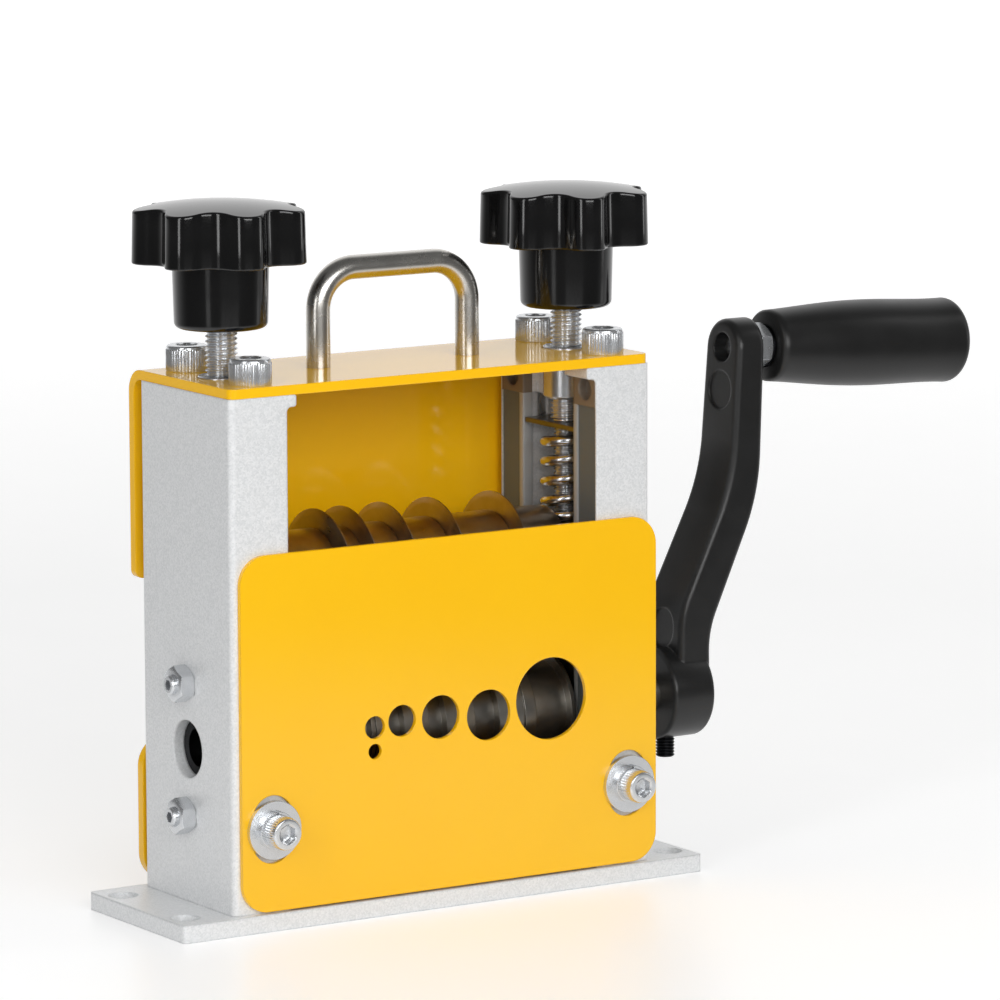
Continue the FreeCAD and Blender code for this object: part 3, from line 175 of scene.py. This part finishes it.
# silver metallic powder coat: a soft pale film in which fine flakes sparkle; the inner ends of the columns
# are milled bare, a dull grey with painted highlights as light lines along the slots, and the heads above
# them carry a painted reflection, a brown tint that stands in for the yellow cover
def silverPowderCoat():
    look = {"colour": "#f1f2f3", "dark": "#e0e2e3", "flakeMm": 0.5, "flakeDepth": 0.011, "edge": 1.2,
            "metallic": 0.22, "roughness": 0.40, "spread": 0.08, "ior": 1.5}
    bareEnd = {"colour": "#697072", "from": 55.0, "to": 58.9, "half": 26.5, "roughness": 0.42,
               "metallic": 0.25, "edgeHighlight": "#b4b6b6", "edgeHighlightAt": 15.45, "edgeHighlightHalf": 1.15,
               "oiled": "#85786a", "yellowReflectionFrom": 150.2}
    material, tree, place = newMaterial("silver flake powder coat")
    flake = addNode(tree, "ShaderNodeTexVoronoi", Vector=place, Scale=perMm(look["flakeMm"]))
    glint = addNode(tree, "ShaderNodeSeparateColor", Color=flake.outputs["Color"]).outputs[0]
    size = addNode(tree, "ShaderNodeVectorMath", operation="ABSOLUTE", in_0=place).outputs[0]
    away = addNode(tree, "ShaderNodeSeparateXYZ", Vector=size).outputs
    inEnd = reckon(tree, "COMPARE", away["X"], (bareEnd["from"] + bareEnd["to"]) / 2 * mm,
                   (bareEnd["to"] - bareEnd["from"]) / 2 * mm)
    inSide = reckon(tree, "LESS_THAN", away["Y"], bareEnd["half"] * mm)
    bare = reckon(tree, "MULTIPLY", inEnd, inSide)
    inHead = reckon(tree, "GREATER_THAN", away["Z"], bareEnd["yellowReflectionFrom"] * mm)
    # painted highlight: light lines along the slot edges stand in for the light their rounded edges catch
    onEdgeHighlight = reckon(tree, "COMPARE", away["Y"], bareEnd["edgeHighlightAt"] * mm, bareEnd["edgeHighlightHalf"] * mm)
    milledWithPaintedLight = tint(tree, onEdgeHighlight, linearColour(bareEnd["colour"]), linearColour(bareEnd["edgeHighlight"]))
    # painted reflection: above the track the heads take a brown tint that stands in for the yellow cover they
    # reflect
    milledWithPaintedLight = tint(tree, inHead, milledWithPaintedLight, linearColour(bareEnd["oiled"]))
    film = tint(tree, glint, linearColour(look["dark"]), linearColour(look["colour"]))
    filmRoughness = between(tree, glint, look["roughness"] - look["spread"], look["roughness"] + look["spread"])
    roughness = addNode(tree, "ShaderNodeMix", in_0=bare, in_2=filmRoughness,
                        in_3=bareEnd["roughness"]).outputs[0]
    shader = addNode(tree, "ShaderNodeBsdfPrincipled", Base_Color=tint(tree, bare, film, milledWithPaintedLight),
                     Metallic=between(tree, bare, look["metallic"], bareEnd["metallic"]),
                     Roughness=roughness, IOR=look["ior"],
                     Normal=relief(tree, glint, look["flakeDepth"], look["edge"]))
    finishMaterial(tree, shader)
    return material


# one metal with a fine surface pattern: grain is the size in millimetres along x, y and z of its marks, and
# the roughness varies from cloud to cloud
def metal(name, look):
    spread = 0.2
    material, tree, place = newMaterial(name)
    marks = addNode(tree, "ShaderNodeMapping", vector_type="POINT", Vector=place,
                    Scale=[perMm(g) for g in look["grain"]]).outputs[0]
    grain = addNode(tree, "ShaderNodeTexNoise", Vector=marks, Scale=1.0, Detail=3.0).outputs["Fac"]
    cloud = speckle(tree, place, look["cloudMm"], detail=3.0)
    colour = tint(tree, cloud, linearColour(look["dark"]), linearColour(look["colour"]))
    roughness = between(tree, cloud, look["roughness"] * (1 - spread), look["roughness"] * (1 + spread))
    shader = addNode(tree, "ShaderNodeBsdfPrincipled", Base_Color=colour, Roughness=roughness,
                     Metallic=look.get("metallic", 1.0),
                     Normal=relief(tree, grain, look["depth"], look["edge"]))
    finishMaterial(tree, shader)
    return material


# bright zinc plate with a clear passivation: cool and shiny, a little cloudy
def brightZinc():
    return metal("bright zinc plate", {"colour": "#e6e8ea", "dark": "#cfd2d6", "cloudMm": 2.5,
                 "grain": (0.9, 0.9, 0.9), "depth": 0.012, "edge": 0.25, "roughness": 0.25, "metallic": 0.86})


# satin stainless bar, drawn and then polished: soft broad highlights
def satinStainless():
    return metal("satin stainless steel", {"colour": "#e6e3dd", "dark": "#d2cfc9", "cloudMm": 6.0,
                 "grain": (0.4, 0.4, 0.4), "depth": 0.003, "edge": 0.3, "roughness": 0.27})


# steel blackened in hot oxide: dark, faintly blue, with an oily sheen
def blackOxide():
    return metal("black oxide steel", {"colour": "#2c2d30", "dark": "#1d1e20", "cloudMm": 3.0,
                 "grain": (0.4, 0.4, 0.4), "depth": 0.003, "edge": 0.25, "roughness": 0.34})


# turned steel left bare: rings of tool marks run round the part, so the marks are fine along x only
def turnedSteel():
    return metal("turned roller steel", {"colour": "#a8a59f", "dark": "#85827c", "cloudMm": 8.0,
                 "grain": (0.35, 60.0, 60.0), "depth": 0.006, "edge": 0.3, "roughness": 0.36})


# ground steel in a warm brown-grey tone, dim where it stands in the shade
def groundBlade():
    return metal("ground blade steel", {"colour": "#c0b3a2", "dark": "#9c9082", "cloudMm": 5.0,
                 "grain": (5.0, 0.5, 0.5), "depth": 0.003, "edge": 0.12, "roughness": 0.30})


# dark turned steel of blocks and spacers
def darkSteel():
    return metal("dark turned steel", {"colour": "#8a8886", "dark": "#6a6866", "cloudMm": 7.0,
                 "grain": (0.4, 30.0, 30.0), "depth": 0.004, "edge": 0.3, "roughness": 0.33})


# spring wire, zinc plated after coiling
def springWire():
    return metal("zinc plated spring wire", {"colour": "#e0e1e2", "dark": "#c4c6c8", "cloudMm": 3.0,
                 "grain": (0.6, 0.6, 0.6), "depth": 0.003, "edge": 0.2, "roughness": 0.24})


# sintered bearing bronze: warm and slightly matt
def bearingBronze():
    return metal("bearing bronze", {"colour": "#b88d50", "dark": "#96703c", "cloudMm": 3.0,
                 "grain": (0.4, 0.4, 0.4), "depth": 0.004, "edge": 0.3, "roughness": 0.36})


# one black finish, a film or a moulding, with a fine relief; the roughness varies from cloud to cloud
def blackFinish(name, look):
    spread = 0.15
    material, tree, place = newMaterial(name)
    grain = speckle(tree, place, look["grainMm"], detail=3.0)
    cloud = speckle(tree, place, look["cloudMm"])
    colour = tint(tree, cloud, linearColour(look["dark"]), linearColour(look["colour"]))
    roughness = between(tree, cloud, look["roughness"] * (1 - spread), look["roughness"] * (1 + spread))
    shader = addNode(tree, "ShaderNodeBsdfPrincipled", Base_Color=colour, Roughness=roughness,
                     IOR=look["ior"], Normal=relief(tree, grain, look["depth"], look["edge"]))
    finishMaterial(tree, shader)
    return material


# black stove enamel on a cast arm: satin, with the casting's soft unevenness under it
def enamelledCasting():
    return blackFinish("satin black enamel", {"colour": "#1f1f1f", "dark": "#171717", "grainMm": 1.2,
                       "depth": 0.02, "cloudMm": 9.0, "edge": 1.0, "roughness": 0.33, "ior": 1.5})


# phenolic resin pressed in a polished mould: hard, black, mirror gloss
def phenolicGloss():
    return blackFinish("black phenolic", {"colour": "#0e0e0f", "dark": "#090909", "grainMm": 3.0,
                       "depth": 0.004, "cloudMm": 12.0, "edge": 0.5, "roughness": 0.10, "ior": 1.6})


# polypropylene grip from a finely sparked mould: dull black with a broad sheen
def mouldedGrip():
    return blackFinish("moulded black polypropylene", {"colour": "#1b1b1b", "dark": "#131313",
                       "grainMm": 0.5, "depth": 0.010, "cloudMm": 10.0, "edge": 0.5, "roughness": 0.36,
                       "ior": 1.49})


finishes = {"yellow_coat": yellowPowderCoat(), "silver_coat": silverPowderCoat(), "zinc": brightZinc(),
            "stainless": satinStainless(), "black_steel": blackOxide(), "roller_steel": turnedSteel(),
            "blade_steel": groundBlade(), "dark_steel": darkSteel(), "spring_steel": springWire(),
            "bronze": bearingBronze(), "cast_black": enamelledCasting(), "black_phenolic": phenolicGloss(),
            "black_grip": mouldedGrip()}
print("finishes made:", len(finishes))

for name, piece in nodes.items():
    piece.data.materials.clear()
    piece.data.materials.append(finishes[slotOf[name]])
    shadeEdges(piece)
print("frame nodes finished")


# closed skins from grids of points in millimetres, one grid or several copies of it: the columns of a row
# join up into a ring, each row joins the next, and the end rings are capped unless they already meet in a
# point or end unseen inside the part
def skin(name, points, slot, body, replaced, kind="machined", capped=True):
    rows, columns = points.shape[-3:-1]
    here = np.arange(points.size // 3).reshape(-1, rows, columns)
    beside = np.roll(here, -1, axis=2)
    faces = np.stack([here[:, :-1], beside[:, :-1], beside[:, 1:], here[:, 1:]], axis=-1)
    faces = faces.reshape(-1, 4).tolist()
    if capped:
        faces += here[:, 0, ::-1].tolist() + here[:, -1].tolist()
    mesh = bpy.data.meshes.new(name)
    mesh.from_pydata((points * mm).reshape(-1, 3).tolist(), [], faces)
    work = bmesh.new()
    work.from_mesh(mesh)
    bmesh.ops.remove_doubles(work, verts=work.verts, dist=closeMm * mm)
    bmesh.ops.recalc_face_normals(work, faces=work.faces)
    work.to_mesh(mesh)
    work.free()
    piece = bpy.data.objects.new(name, mesh)
    bpy.context.scene.collection.objects.link(piece)
    mesh.materials.append(finishes[slot])
    shadeEdges(piece, kind)
    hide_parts(replaced)
    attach(piece, body)
    return piece


def fullRings(rings, shape):
    # all radii and all heights of a list of rings, where a plain number holds all round its ring
    return np.array([[np.broadcast_to(part, shape) for part in column] for column in zip(*rings)])


knobShape = {"lobes": 7, "radius": 26.95, "valley": 21.4, "lobeCurve": 6.0, "rimHeight": 16.0, "dome": 2.8,
             "draft": 0.35, "topEdge": 0.9, "lowEdge": 0.6, "bossRadius": 14.75, "bossHeight": 19.9,
             "bossTaper": 0.45, "bossEdge": 2.0, "bore": 5.0, "boreDepth": 4.0, "around": 280,
             "edgeRows": 7, "domeRows": 24, "domeFrom": 0.96}


# star outline: about each lobe's axis the distance is reach*cos(a) + sqrt(curve^2 - reach^2*sin(a)^2), and
# between lobes the same with the valley's own centre outside the star and the minus sign
def starRadius(angle):
    s = knobShape
    curve, valley = s["lobeCurve"], s["valley"]
    step = 2 * math.pi / s["lobes"]
    reach = s["radius"] - curve
    cosHalf = math.cos(step / 2)
    hollow = ((curve ** 2 - reach ** 2 - valley ** 2 + 2 * reach * valley * cosHalf)
              / (2 * (valley - reach * cosHalf - curve)))
    far = valley + hollow
    share = curve / (curve + hollow)
    meetAngle = math.atan2(far * math.sin(step / 2) * share, reach + (far * cosHalf - reach) * share)
    fromValley = np.minimum(angle % step, step - angle % step)
    fromLobe = step / 2 - fromValley
    lobe = reach * np.cos(fromLobe) + np.sqrt(np.maximum(curve ** 2 - (reach * np.sin(fromLobe)) ** 2, 0))
    dip = far * np.cos(fromValley) - np.sqrt(np.maximum(hollow ** 2 - (far * np.sin(fromValley)) ** 2, 0))
    return np.where(fromLobe < meetAngle, lobe, dip)


# knob: rings stacked from the bore over boss, underside, rim and dome; a ring's radius is the star's radius
# less an inset, and the dome follows a sphere, z = top - (D - sqrt(D^2 - r^2))
def starKnob(side, x, bottom, valleyAngle):
    s = knobShape
    turn = np.linspace(0, 2 * math.pi, s["around"], endpoint=False)
    star = starRadius(turn)
    top = s["bossHeight"] + s["rimHeight"] + s["dome"]
    ball = (s["radius"] ** 2 + s["dome"] ** 2) / (2 * s["dome"])
    quarter = [(1 - math.sin(a), 1 - math.cos(a)) for a in np.linspace(0, math.pi / 2, s["edgeRows"])]
    bossLow = s["bossRadius"] - s["bossTaper"]
    rings = [(0.0, s["boreDepth"]), (s["bore"], s["boreDepth"]), (s["bore"], 0.0)]
    rings += [(bossLow - s["bossEdge"] * inset, s["bossEdge"] * rise) for inset, rise in quarter]
    rings += [(bossLow + s["bossTaper"] * t, s["bossEdge"] + (s["bossHeight"] - s["bossEdge"]) * t)
              for t in (0.5, 1.0)]
    rings += [(star - s["lowEdge"] * inset, s["bossHeight"] + s["lowEdge"] * rise) for inset, rise in quarter]
    crown = star - s["draft"] - s["topEdge"]
    crownZ = top - (ball - np.sqrt(ball ** 2 - crown ** 2))
    rings += [(crown + s["topEdge"] * (1 - rise), crownZ - s["topEdge"] * inset) for inset, rise in quarter]
    rings += [(crown * t, top - (ball - np.sqrt(ball ** 2 - (crown * t) ** 2)))
              for t in np.linspace(s["domeFrom"], 0.0, s["domeRows"])]
    radius, height = fullRings(rings, star.shape)
    around = turn + math.radians(valleyAngle)
    points = np.stack([x + radius * np.cos(around), radius * np.sin(around), bottom + height], axis=-1)
    skin(side + "_star_knob", points, "black_phenolic", side + "_knob_screw", side + "_knob", "moulded", False)


knobScrew = {"radius": 5.0, "pitch": 1.5, "depth": 0.75, "around": 72}
guideRod = {"radius": 4.0, "pitch": 1.25, "depth": 0.65, "around": 56}
threadForm = {"crest": 0.125, "root": 0.25, "rowsPerPitch": 12, "endInset": 0.2, "endSlope": 0.9}


# screw thread: the radius swings between root and crest with the distance from the crest line, which climbs
# one pitch a turn, z/pitch - angle/2pi; crest and root are flat over their shares of the pitch, and both
# ends taper in
def threadedRod(name, x, low, high, s, body, replaced):
    f = threadForm
    turn = np.linspace(0, 2 * math.pi, s["around"], endpoint=False)
    level = np.linspace(low, high, int((high - low) / s["pitch"] * f["rowsPerPitch"]) + 1)[:, None]
    phase = (level / s["pitch"] - turn / (2 * math.pi)) % 1.0
    flank = np.clip(1 - (np.abs(phase - 0.5) - f["crest"] / 2) / (0.5 - f["crest"] / 2 - f["root"] / 2), 0, 1)
    core = s["radius"] - s["depth"]
    fromEnd = np.minimum(level - low, high - level)
    radius = np.minimum(core + s["depth"] * flank, core - f["endInset"] + fromEnd * f["endSlope"])
    points = np.stack([x + radius * np.cos(turn), radius * np.sin(turn),
                       np.broadcast_to(level, radius.shape)], axis=-1)
    skin(name, points, "zinc", body, replaced)


coilShape = {"wire": 1.7, "openPitch": 6.3, "closedPitch": 3.9, "closedTurns": 0.75, "easeFrom": 0.7,
             "easeOver": 0.6, "endAngle": 75.0, "perTurn": 48, "across": 20, "lift": 2.8}


# spring: a round wire carried along a helix whose climb eases from closed end coils to the open pitch; the
# ends are ground flat, so no point goes past the seats
def compressionSpring(side, x, low, high, outerRadius):
    s = coilShape
    wire, closed = s["wire"], s["closedTurns"]
    coilRadius = outerRadius - wire
    rise = high - low - 2 * wire
    turns = (rise - 2 * closed * s["closedPitch"]) / s["openPitch"] + 2 * closed
    t = np.linspace(0, turns, int(turns * s["perTurn"]))
    ease = np.clip((np.minimum(t, turns - t) - closed * s["easeFrom"]) / (closed * s["easeOver"]), 0, 1)
    ease = ease * ease * (3 - 2 * ease)
    climb = s["closedPitch"] + (s["openPitch"] - s["closedPitch"]) * ease
    height = np.concatenate([[0], np.cumsum((climb[1:] + climb[:-1]) / 2 * np.diff(t))])
    height = low + wire + height * rise / height[-1]
    angle = 2 * math.pi * (t - turns) + math.radians(s["endAngle"])
    outward = np.stack([np.cos(angle), np.sin(angle), np.zeros_like(angle)], axis=-1)
    centre = coilRadius * outward + np.stack([np.full_like(t, x), np.zeros_like(t), height], axis=-1)
    along = np.gradient(centre, axis=0)
    along /= np.linalg.norm(along, axis=1)[:, None]
    upward = np.cross(along, outward)
    ring = np.linspace(0, 2 * math.pi, s["across"], endpoint=False)[None, :, None]
    points = centre[:, None] + wire * (np.cos(ring) * outward[:, None] + np.sin(ring) * upward[:, None])
    points[:, :, 2] = np.clip(points[:, :, 2], low, high)
    coil = skin(side + "_coil", points, "spring_steel", "adjuster", side + "_spring", "moulded")
    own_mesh(coil)


gripShape = {"start": 6.05, "length": 73.0, "edge": 3.0, "edgeFrom": 0.15, "edgeRows": 9, "lip": 0.8,
             "bore": 4.1, "boreDepth": 20.0, "pocket": 7.0, "pocketDepth": 5.8, "around": 96, "rows": 40,
             "firstRow": 0.012, "stations": (0.0, 0.16, 0.42, 0.72, 0.959),
             "radii": (11.4, 12.3, 13.7, 13.7, 13.72)}


# grip: a barrel turned about its own drooping axis; its radius is a polynomial fitted through a few stations,
# and a quarter circle rounds its outer end; a point is pivot + axis*along + side*(r*cos) + up*(r*sin)
def barrelGrip():
    s = gripShape
    joint = [j for j in frame["record"]["behaviour"]["joints"] if j["name"] == "grip_spin"][0]
    pivot = np.array(joint["pos_m"]) / mm
    axis = np.array(joint["axis"])
    sideways = np.array((0, 1, 0))
    up = np.cross(axis, sideways)
    low, high = s["start"], s["start"] + s["length"]
    curve = np.polyfit(s["stations"], s["radii"], len(s["stations"]) - 1)
    share = np.linspace(s["firstRow"], 1 - s["edge"] / s["length"], s["rows"])
    profile = [(low + s["boreDepth"], s["bore"]), (low, s["bore"]), (low, s["radii"][0] - s["lip"])]
    profile += [(low + t * s["length"], r) for t, r in zip(share, np.polyval(curve, share))]
    last = profile[-1][1]
    profile += [(high - s["edge"] * (1 - math.sin(a)), last - s["edge"] * (1 - math.cos(a)))
                for a in np.linspace(s["edgeFrom"], math.pi / 2, s["edgeRows"])]
    pocketFloor = high - s["pocketDepth"]
    profile += [(high, s["pocket"]), (pocketFloor, s["pocket"]), (pocketFloor, s["bore"])]
    along, radius = np.array(profile).T[:, :, None]
    turn = np.linspace(0, 2 * math.pi, s["around"], endpoint=False)
    points = (pivot + along[..., None] * axis + (radius * np.cos(turn))[..., None] * sideways
              + (radius * np.sin(turn))[..., None] * up)
    skin("grip_barrel", points, "black_grip", "grip", "grip_sleeve", "moulded", False)


screwSizes = {"M8": {"head": 6.5, "high": 8.0, "shank": 4.0, "socket": 6.0, "ridges": 46},
              "M6": {"head": 5.1, "high": 6.0, "shank": 3.0, "socket": 5.0, "ridges": 38}}
screwHead = {"knurl": 0.24, "collar": 1.15, "foot": 0.35, "edge": 0.7, "edgeFrom": 0.1, "edgeRows": 6,
             "rim": 0.45, "mouth": 0.3, "perRidge": 6, "apart": 1.0}
socketScrews = {"cover_screws": ("M8", (0, 0, 1)), "guide_screws": ("M6", (0, -1, 0)),
                "rear_guard_screws": ("M6", (0, 1, 0))}


# socket head cap screws: rings from the shank's end to the socket's floor; the rim is knurled,
# r = R - depth*(1 - cos(ridges*a))/2, and the socket is a hexagon, r = (across/2)/cos(a mod 60 - 30);
# one screw stands at each corner of the node's box, or in its middle where the box is one head wide
def knurledScrews(node):
    size, out = socketScrews[node]
    s = dict(screwSizes[size], **screwHead)
    out = np.array(out, float)
    turn = np.linspace(0, 2 * math.pi, s["ridges"] * s["perRidge"], endpoint=False)
    neck, high = s["head"] - s["knurl"], s["high"]
    rim = s["head"] - s["knurl"] * (1 - np.cos(s["ridges"] * turn)) / 2
    sixth = math.pi / 3
    hexagon = s["socket"] / 2 / np.cos(turn % sixth - sixth / 2)
    lows, highs = (np.array(corner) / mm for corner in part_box(node))
    inward = np.abs(out)
    shank = (highs - lows) @ inward - high
    rings = [(0, -shank), (s["shank"], -shank), (s["shank"], 0.0), (neck, 0.0), (rim, s["foot"]),
             (rim, high - s["collar"] - s["foot"]), (neck, high - s["collar"])]
    rings += [(neck - s["edge"] * (1 - math.cos(a)), high - s["edge"] * (1 - math.sin(a)))
              for a in np.linspace(s["edgeFrom"], math.pi / 2, s["edgeRows"])]
    rings += [(hexagon.max() + s["mouth"], high), (hexagon, high - s["rim"]), (hexagon, high / 2),
              (0, high / 2 - s["rim"])]
    radius, rise = fullRings(rings, turn.shape)[..., None]
    across = [np.roll(inward, 1), np.roll(inward, 2)]
    shape = radius * np.cos(turn)[:, None] * across[0] + radius * np.sin(turn)[:, None] * across[1] + rise * out
    seat = ((highs if out.sum() > 0 else lows) @ inward) * inward - high * out
    spots = []
    for axis in across:
        first, last = lows @ axis + s["head"], highs @ axis - s["head"]
        spots.append([first, last] if last - first > s["apart"] else [(first + last) / 2])
    places = np.array([seat + across[0] * a + across[1] * b for a in spots[0] for b in spots[1]])
    points = places[:, None, None, :] + shape
    skin(node.replace("screws", "knurled_screws"), points, "zinc", bodyOf[node], node, "machined", False)


for node in socketScrews:
    knurledScrews(node)
knobTurns = {"left": -125.3, "right": -131.2}
for side in knobTurns:
    low, high = (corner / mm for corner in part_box(side + "_adjusting_screw"))
    x = (low.x + high.x) / 2
    starKnob(side, x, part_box(side + "_knob")[0].z / mm, knobTurns[side])
    threadedRod(side + "_thread", x, low.z, high.z, knobScrew, side + "_knob_screw", side + "_adjusting_screw")
    low, high = (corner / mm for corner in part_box(side + "_spring_rod"))
    threadedRod(side + "_guide_rod", x, low.z, high.z, guideRod, "adjuster", side + "_spring_rod")
    low, high = (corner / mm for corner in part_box(side + "_spring"))
    compressionSpring(side, x, low.z, high.z, (high.y - low.y) / 2)
barrelGrip()
print("screws, knobs, threads, springs and grip made")


# how bright gloss finds the room in a direction: white beyond the object, dim in front of it, with a smooth
# step of the cosine to the bright side
roomShade = {"brightSide": (0.53, 0.83, 0.16), "skyFrom": 0.45, "floorFrom": -0.15, "to": 0.95, "dim": 0.10,
             "bright": 1.0}


def roomLevel(tree, direction, where):
    s = roomShade
    facing = addNode(tree, "ShaderNodeVectorMath", operation="DOT_PRODUCT", in_0=direction,
                     in_1=s["brightSide"]).outputs["Value"]
    return addNode(tree, "ShaderNodeMapRange", interpolation_type="SMOOTHSTEP", Value=facing,
                   From_Min=s[where], From_Max=s["to"], To_Min=s["dim"], To_Max=s["bright"]).outputs[0]


# a pale floor that keeps the object's shadow; eye and gloss find it lit by itself as well, more so far away,
# where gloss finds it as bright as the room
def paleFloor():
    s = {"size": 14.0, "colour": "#f1f1f1", "roughness": 0.35, "spread": 0.02, "grainMm": 30.0, "lift": 0.26,
         "farLift": 0.75, "near": 0.22, "far": 0.60, "horizon": 3.0}
    half = s["size"] / 2
    mesh = bpy.data.meshes.new("floor")
    mesh.from_pydata([(-half, -half, 0), (half, -half, 0), (half, half, 0), (-half, half, 0)], [],
                     [(0, 1, 2, 3)])
    floor = bpy.data.objects.new("floor", mesh)
    bpy.context.scene.collection.objects.link(floor)
    material, tree, place = newMaterial("pale studio floor")
    grain = speckle(tree, place, s["grainMm"])
    ray = addNode(tree, "ShaderNodeLightPath").outputs
    distance = addNode(tree, "ShaderNodeVectorMath", operation="LENGTH", in_0=place).outputs["Value"]
    direction = addNode(tree, "ShaderNodeVectorMath", operation="NORMALIZE", in_0=place).outputs[0]
    away = addNode(tree, "ShaderNodeMapRange", interpolation_type="SMOOTHSTEP", Value=distance,
                   From_Min=s["near"], From_Max=s["far"]).outputs[0]
    farGloss = reckon(tree, "MULTIPLY", away, ray["Is Glossy Ray"])
    glossLevel = addNode(tree, "ShaderNodeMix", in_0=farGloss, in_2=1.0,
                         in_3=roomLevel(tree, direction, "floorFrom")).outputs[0]
    seen = reckon(tree, "MAXIMUM", ray["Is Camera Ray"], ray["Is Glossy Ray"])
    lift = addNode(tree, "ShaderNodeMapRange", Value=distance, From_Min=s["far"], From_Max=s["horizon"],
                   To_Min=s["lift"], To_Max=s["farLift"]).outputs[0]
    glow = reckon(tree, "MULTIPLY", reckon(tree, "MULTIPLY", seen, glossLevel), lift)
    shader = addNode(tree, "ShaderNodeBsdfPrincipled",
                     Base_Color=tint(tree, glossLevel, linearColour("#000000"), linearColour(s["colour"])),
                     Roughness=between(tree, grain, s["roughness"] - s["spread"], s["roughness"] + s["spread"]),
                     Emission_Color=linearColour("#ffffff"), Emission_Strength=glow)
    finishMaterial(tree, shader)
    mesh.materials.append(material)


# the room: white to the eye, as bright as roomLevel says to gloss, and an even soft light to all else
def studioRoom():
    ambient = 0.46
    world = bpy.data.worlds.new("studio")
    bpy.context.scene.world = world
    world.cycles.sampling_method = "NONE"   # keeps the gloss level and the soft level apart
    world.use_nodes = True
    tree = world.node_tree
    tree.nodes.clear()
    ray = addNode(tree, "ShaderNodeLightPath").outputs
    direction = addNode(tree, "ShaderNodeTexCoord").outputs["Generated"]
    shiny = reckon(tree, "MAXIMUM", ray["Is Glossy Ray"], ray["Is Transmission Ray"])
    gloss = reckon(tree, "MULTIPLY", shiny, roomLevel(tree, direction, "skyFrom"))
    light = reckon(tree, "MULTIPLY_ADD", reckon(tree, "SUBTRACT", 1.0, shiny), ambient, gloss)
    background = addNode(tree, "ShaderNodeBackground", Color=linearColour("#ffffff"),
                         Strength=reckon(tree, "MAXIMUM", light, ray["Is Camera Ray"]))
    addNode(tree, "ShaderNodeOutputWorld", Surface=background.outputs[0])


softBoxes = {"top box": {"place": (0.1, 0.3, 1.7), "size": (2.6, 2.6), "watts": 3.5, "inGloss": False},
             "front box": {"place": (-0.25, -1.45, 0.6), "size": (1.2, 0.6), "watts": 10.5, "inGloss": True},
             "left strip": {"place": (-0.95, -0.5, 0.5), "size": (0.2, 1.0), "watts": 2.4, "inGloss": True},
             "right strip": {"place": (1.0, -0.35, 0.5), "size": (0.16, 1.0), "watts": 1.1, "inGloss": True}}
lampAim = (0.02, 0.0, 0.10)   # a little above the roller, near the middle of the machine


# one soft box: a flat lamp turned to face the machine, unseen by the camera itself
def softBox(name):
    s = softBoxes[name]
    lamp = bpy.data.lights.new(name, "AREA")
    lamp.shape = "RECTANGLE"
    lamp.size, lamp.size_y = s["size"]
    lamp.energy = s["watts"]
    holder = bpy.data.objects.new(name, lamp)
    holder.location = s["place"]
    holder.visible_camera = False
    holder.visible_glossy = s["inGloss"]
    holder.rotation_euler = (Vector(lampAim) - Vector(s["place"])).to_track_quat("-Z", "Y").to_euler()
    bpy.context.scene.collection.objects.link(holder)


paleFloor()
studioRoom()
for name in softBoxes:
    softBox(name)


# camera on a sphere round its target: azimuth from straight in front, elevation and roll in degrees; focal
# length and shift are in pixels of a frame as wide as "frame" says
def studioCamera():
    s = {"azimuth": 32.621, "elevation": 8.843, "roll": -0.196, "distance": 1.9785, "sensor": 36.0,
         "target": (0.036314, 0.0, 0.119527), "focalPixels": 6353.2, "frame": 1000.0, "shift": (3.27, 0.50),
         "clipEnd": 50.0}
    turn, tilt = math.radians(s["azimuth"]), math.radians(s["elevation"])
    back = Vector((-math.sin(turn) * math.cos(tilt), -math.cos(turn) * math.cos(tilt), math.sin(tilt)))
    lens = bpy.data.cameras.new("camera")
    lens.sensor_width = s["sensor"]
    lens.lens = s["focalPixels"] / s["frame"] * s["sensor"]
    lens.shift_x = s["shift"][0] / s["frame"]
    lens.shift_y = s["shift"][1] / s["frame"]
    lens.clip_end = s["clipEnd"]
    camera = bpy.data.objects.new("camera", lens)
    camera.location = Vector(s["target"]) + back * s["distance"]
    camera.rotation_euler = (-back).to_track_quat("-Z", "Y").to_euler()
    camera.rotation_euler.rotate_axis("Z", math.radians(s["roll"]))
    bpy.context.scene.collection.objects.link(camera)
    bpy.context.scene.camera = camera


studioCamera()
bpy.context.scene.view_settings.view_transform = "Standard"
print("studio ready")
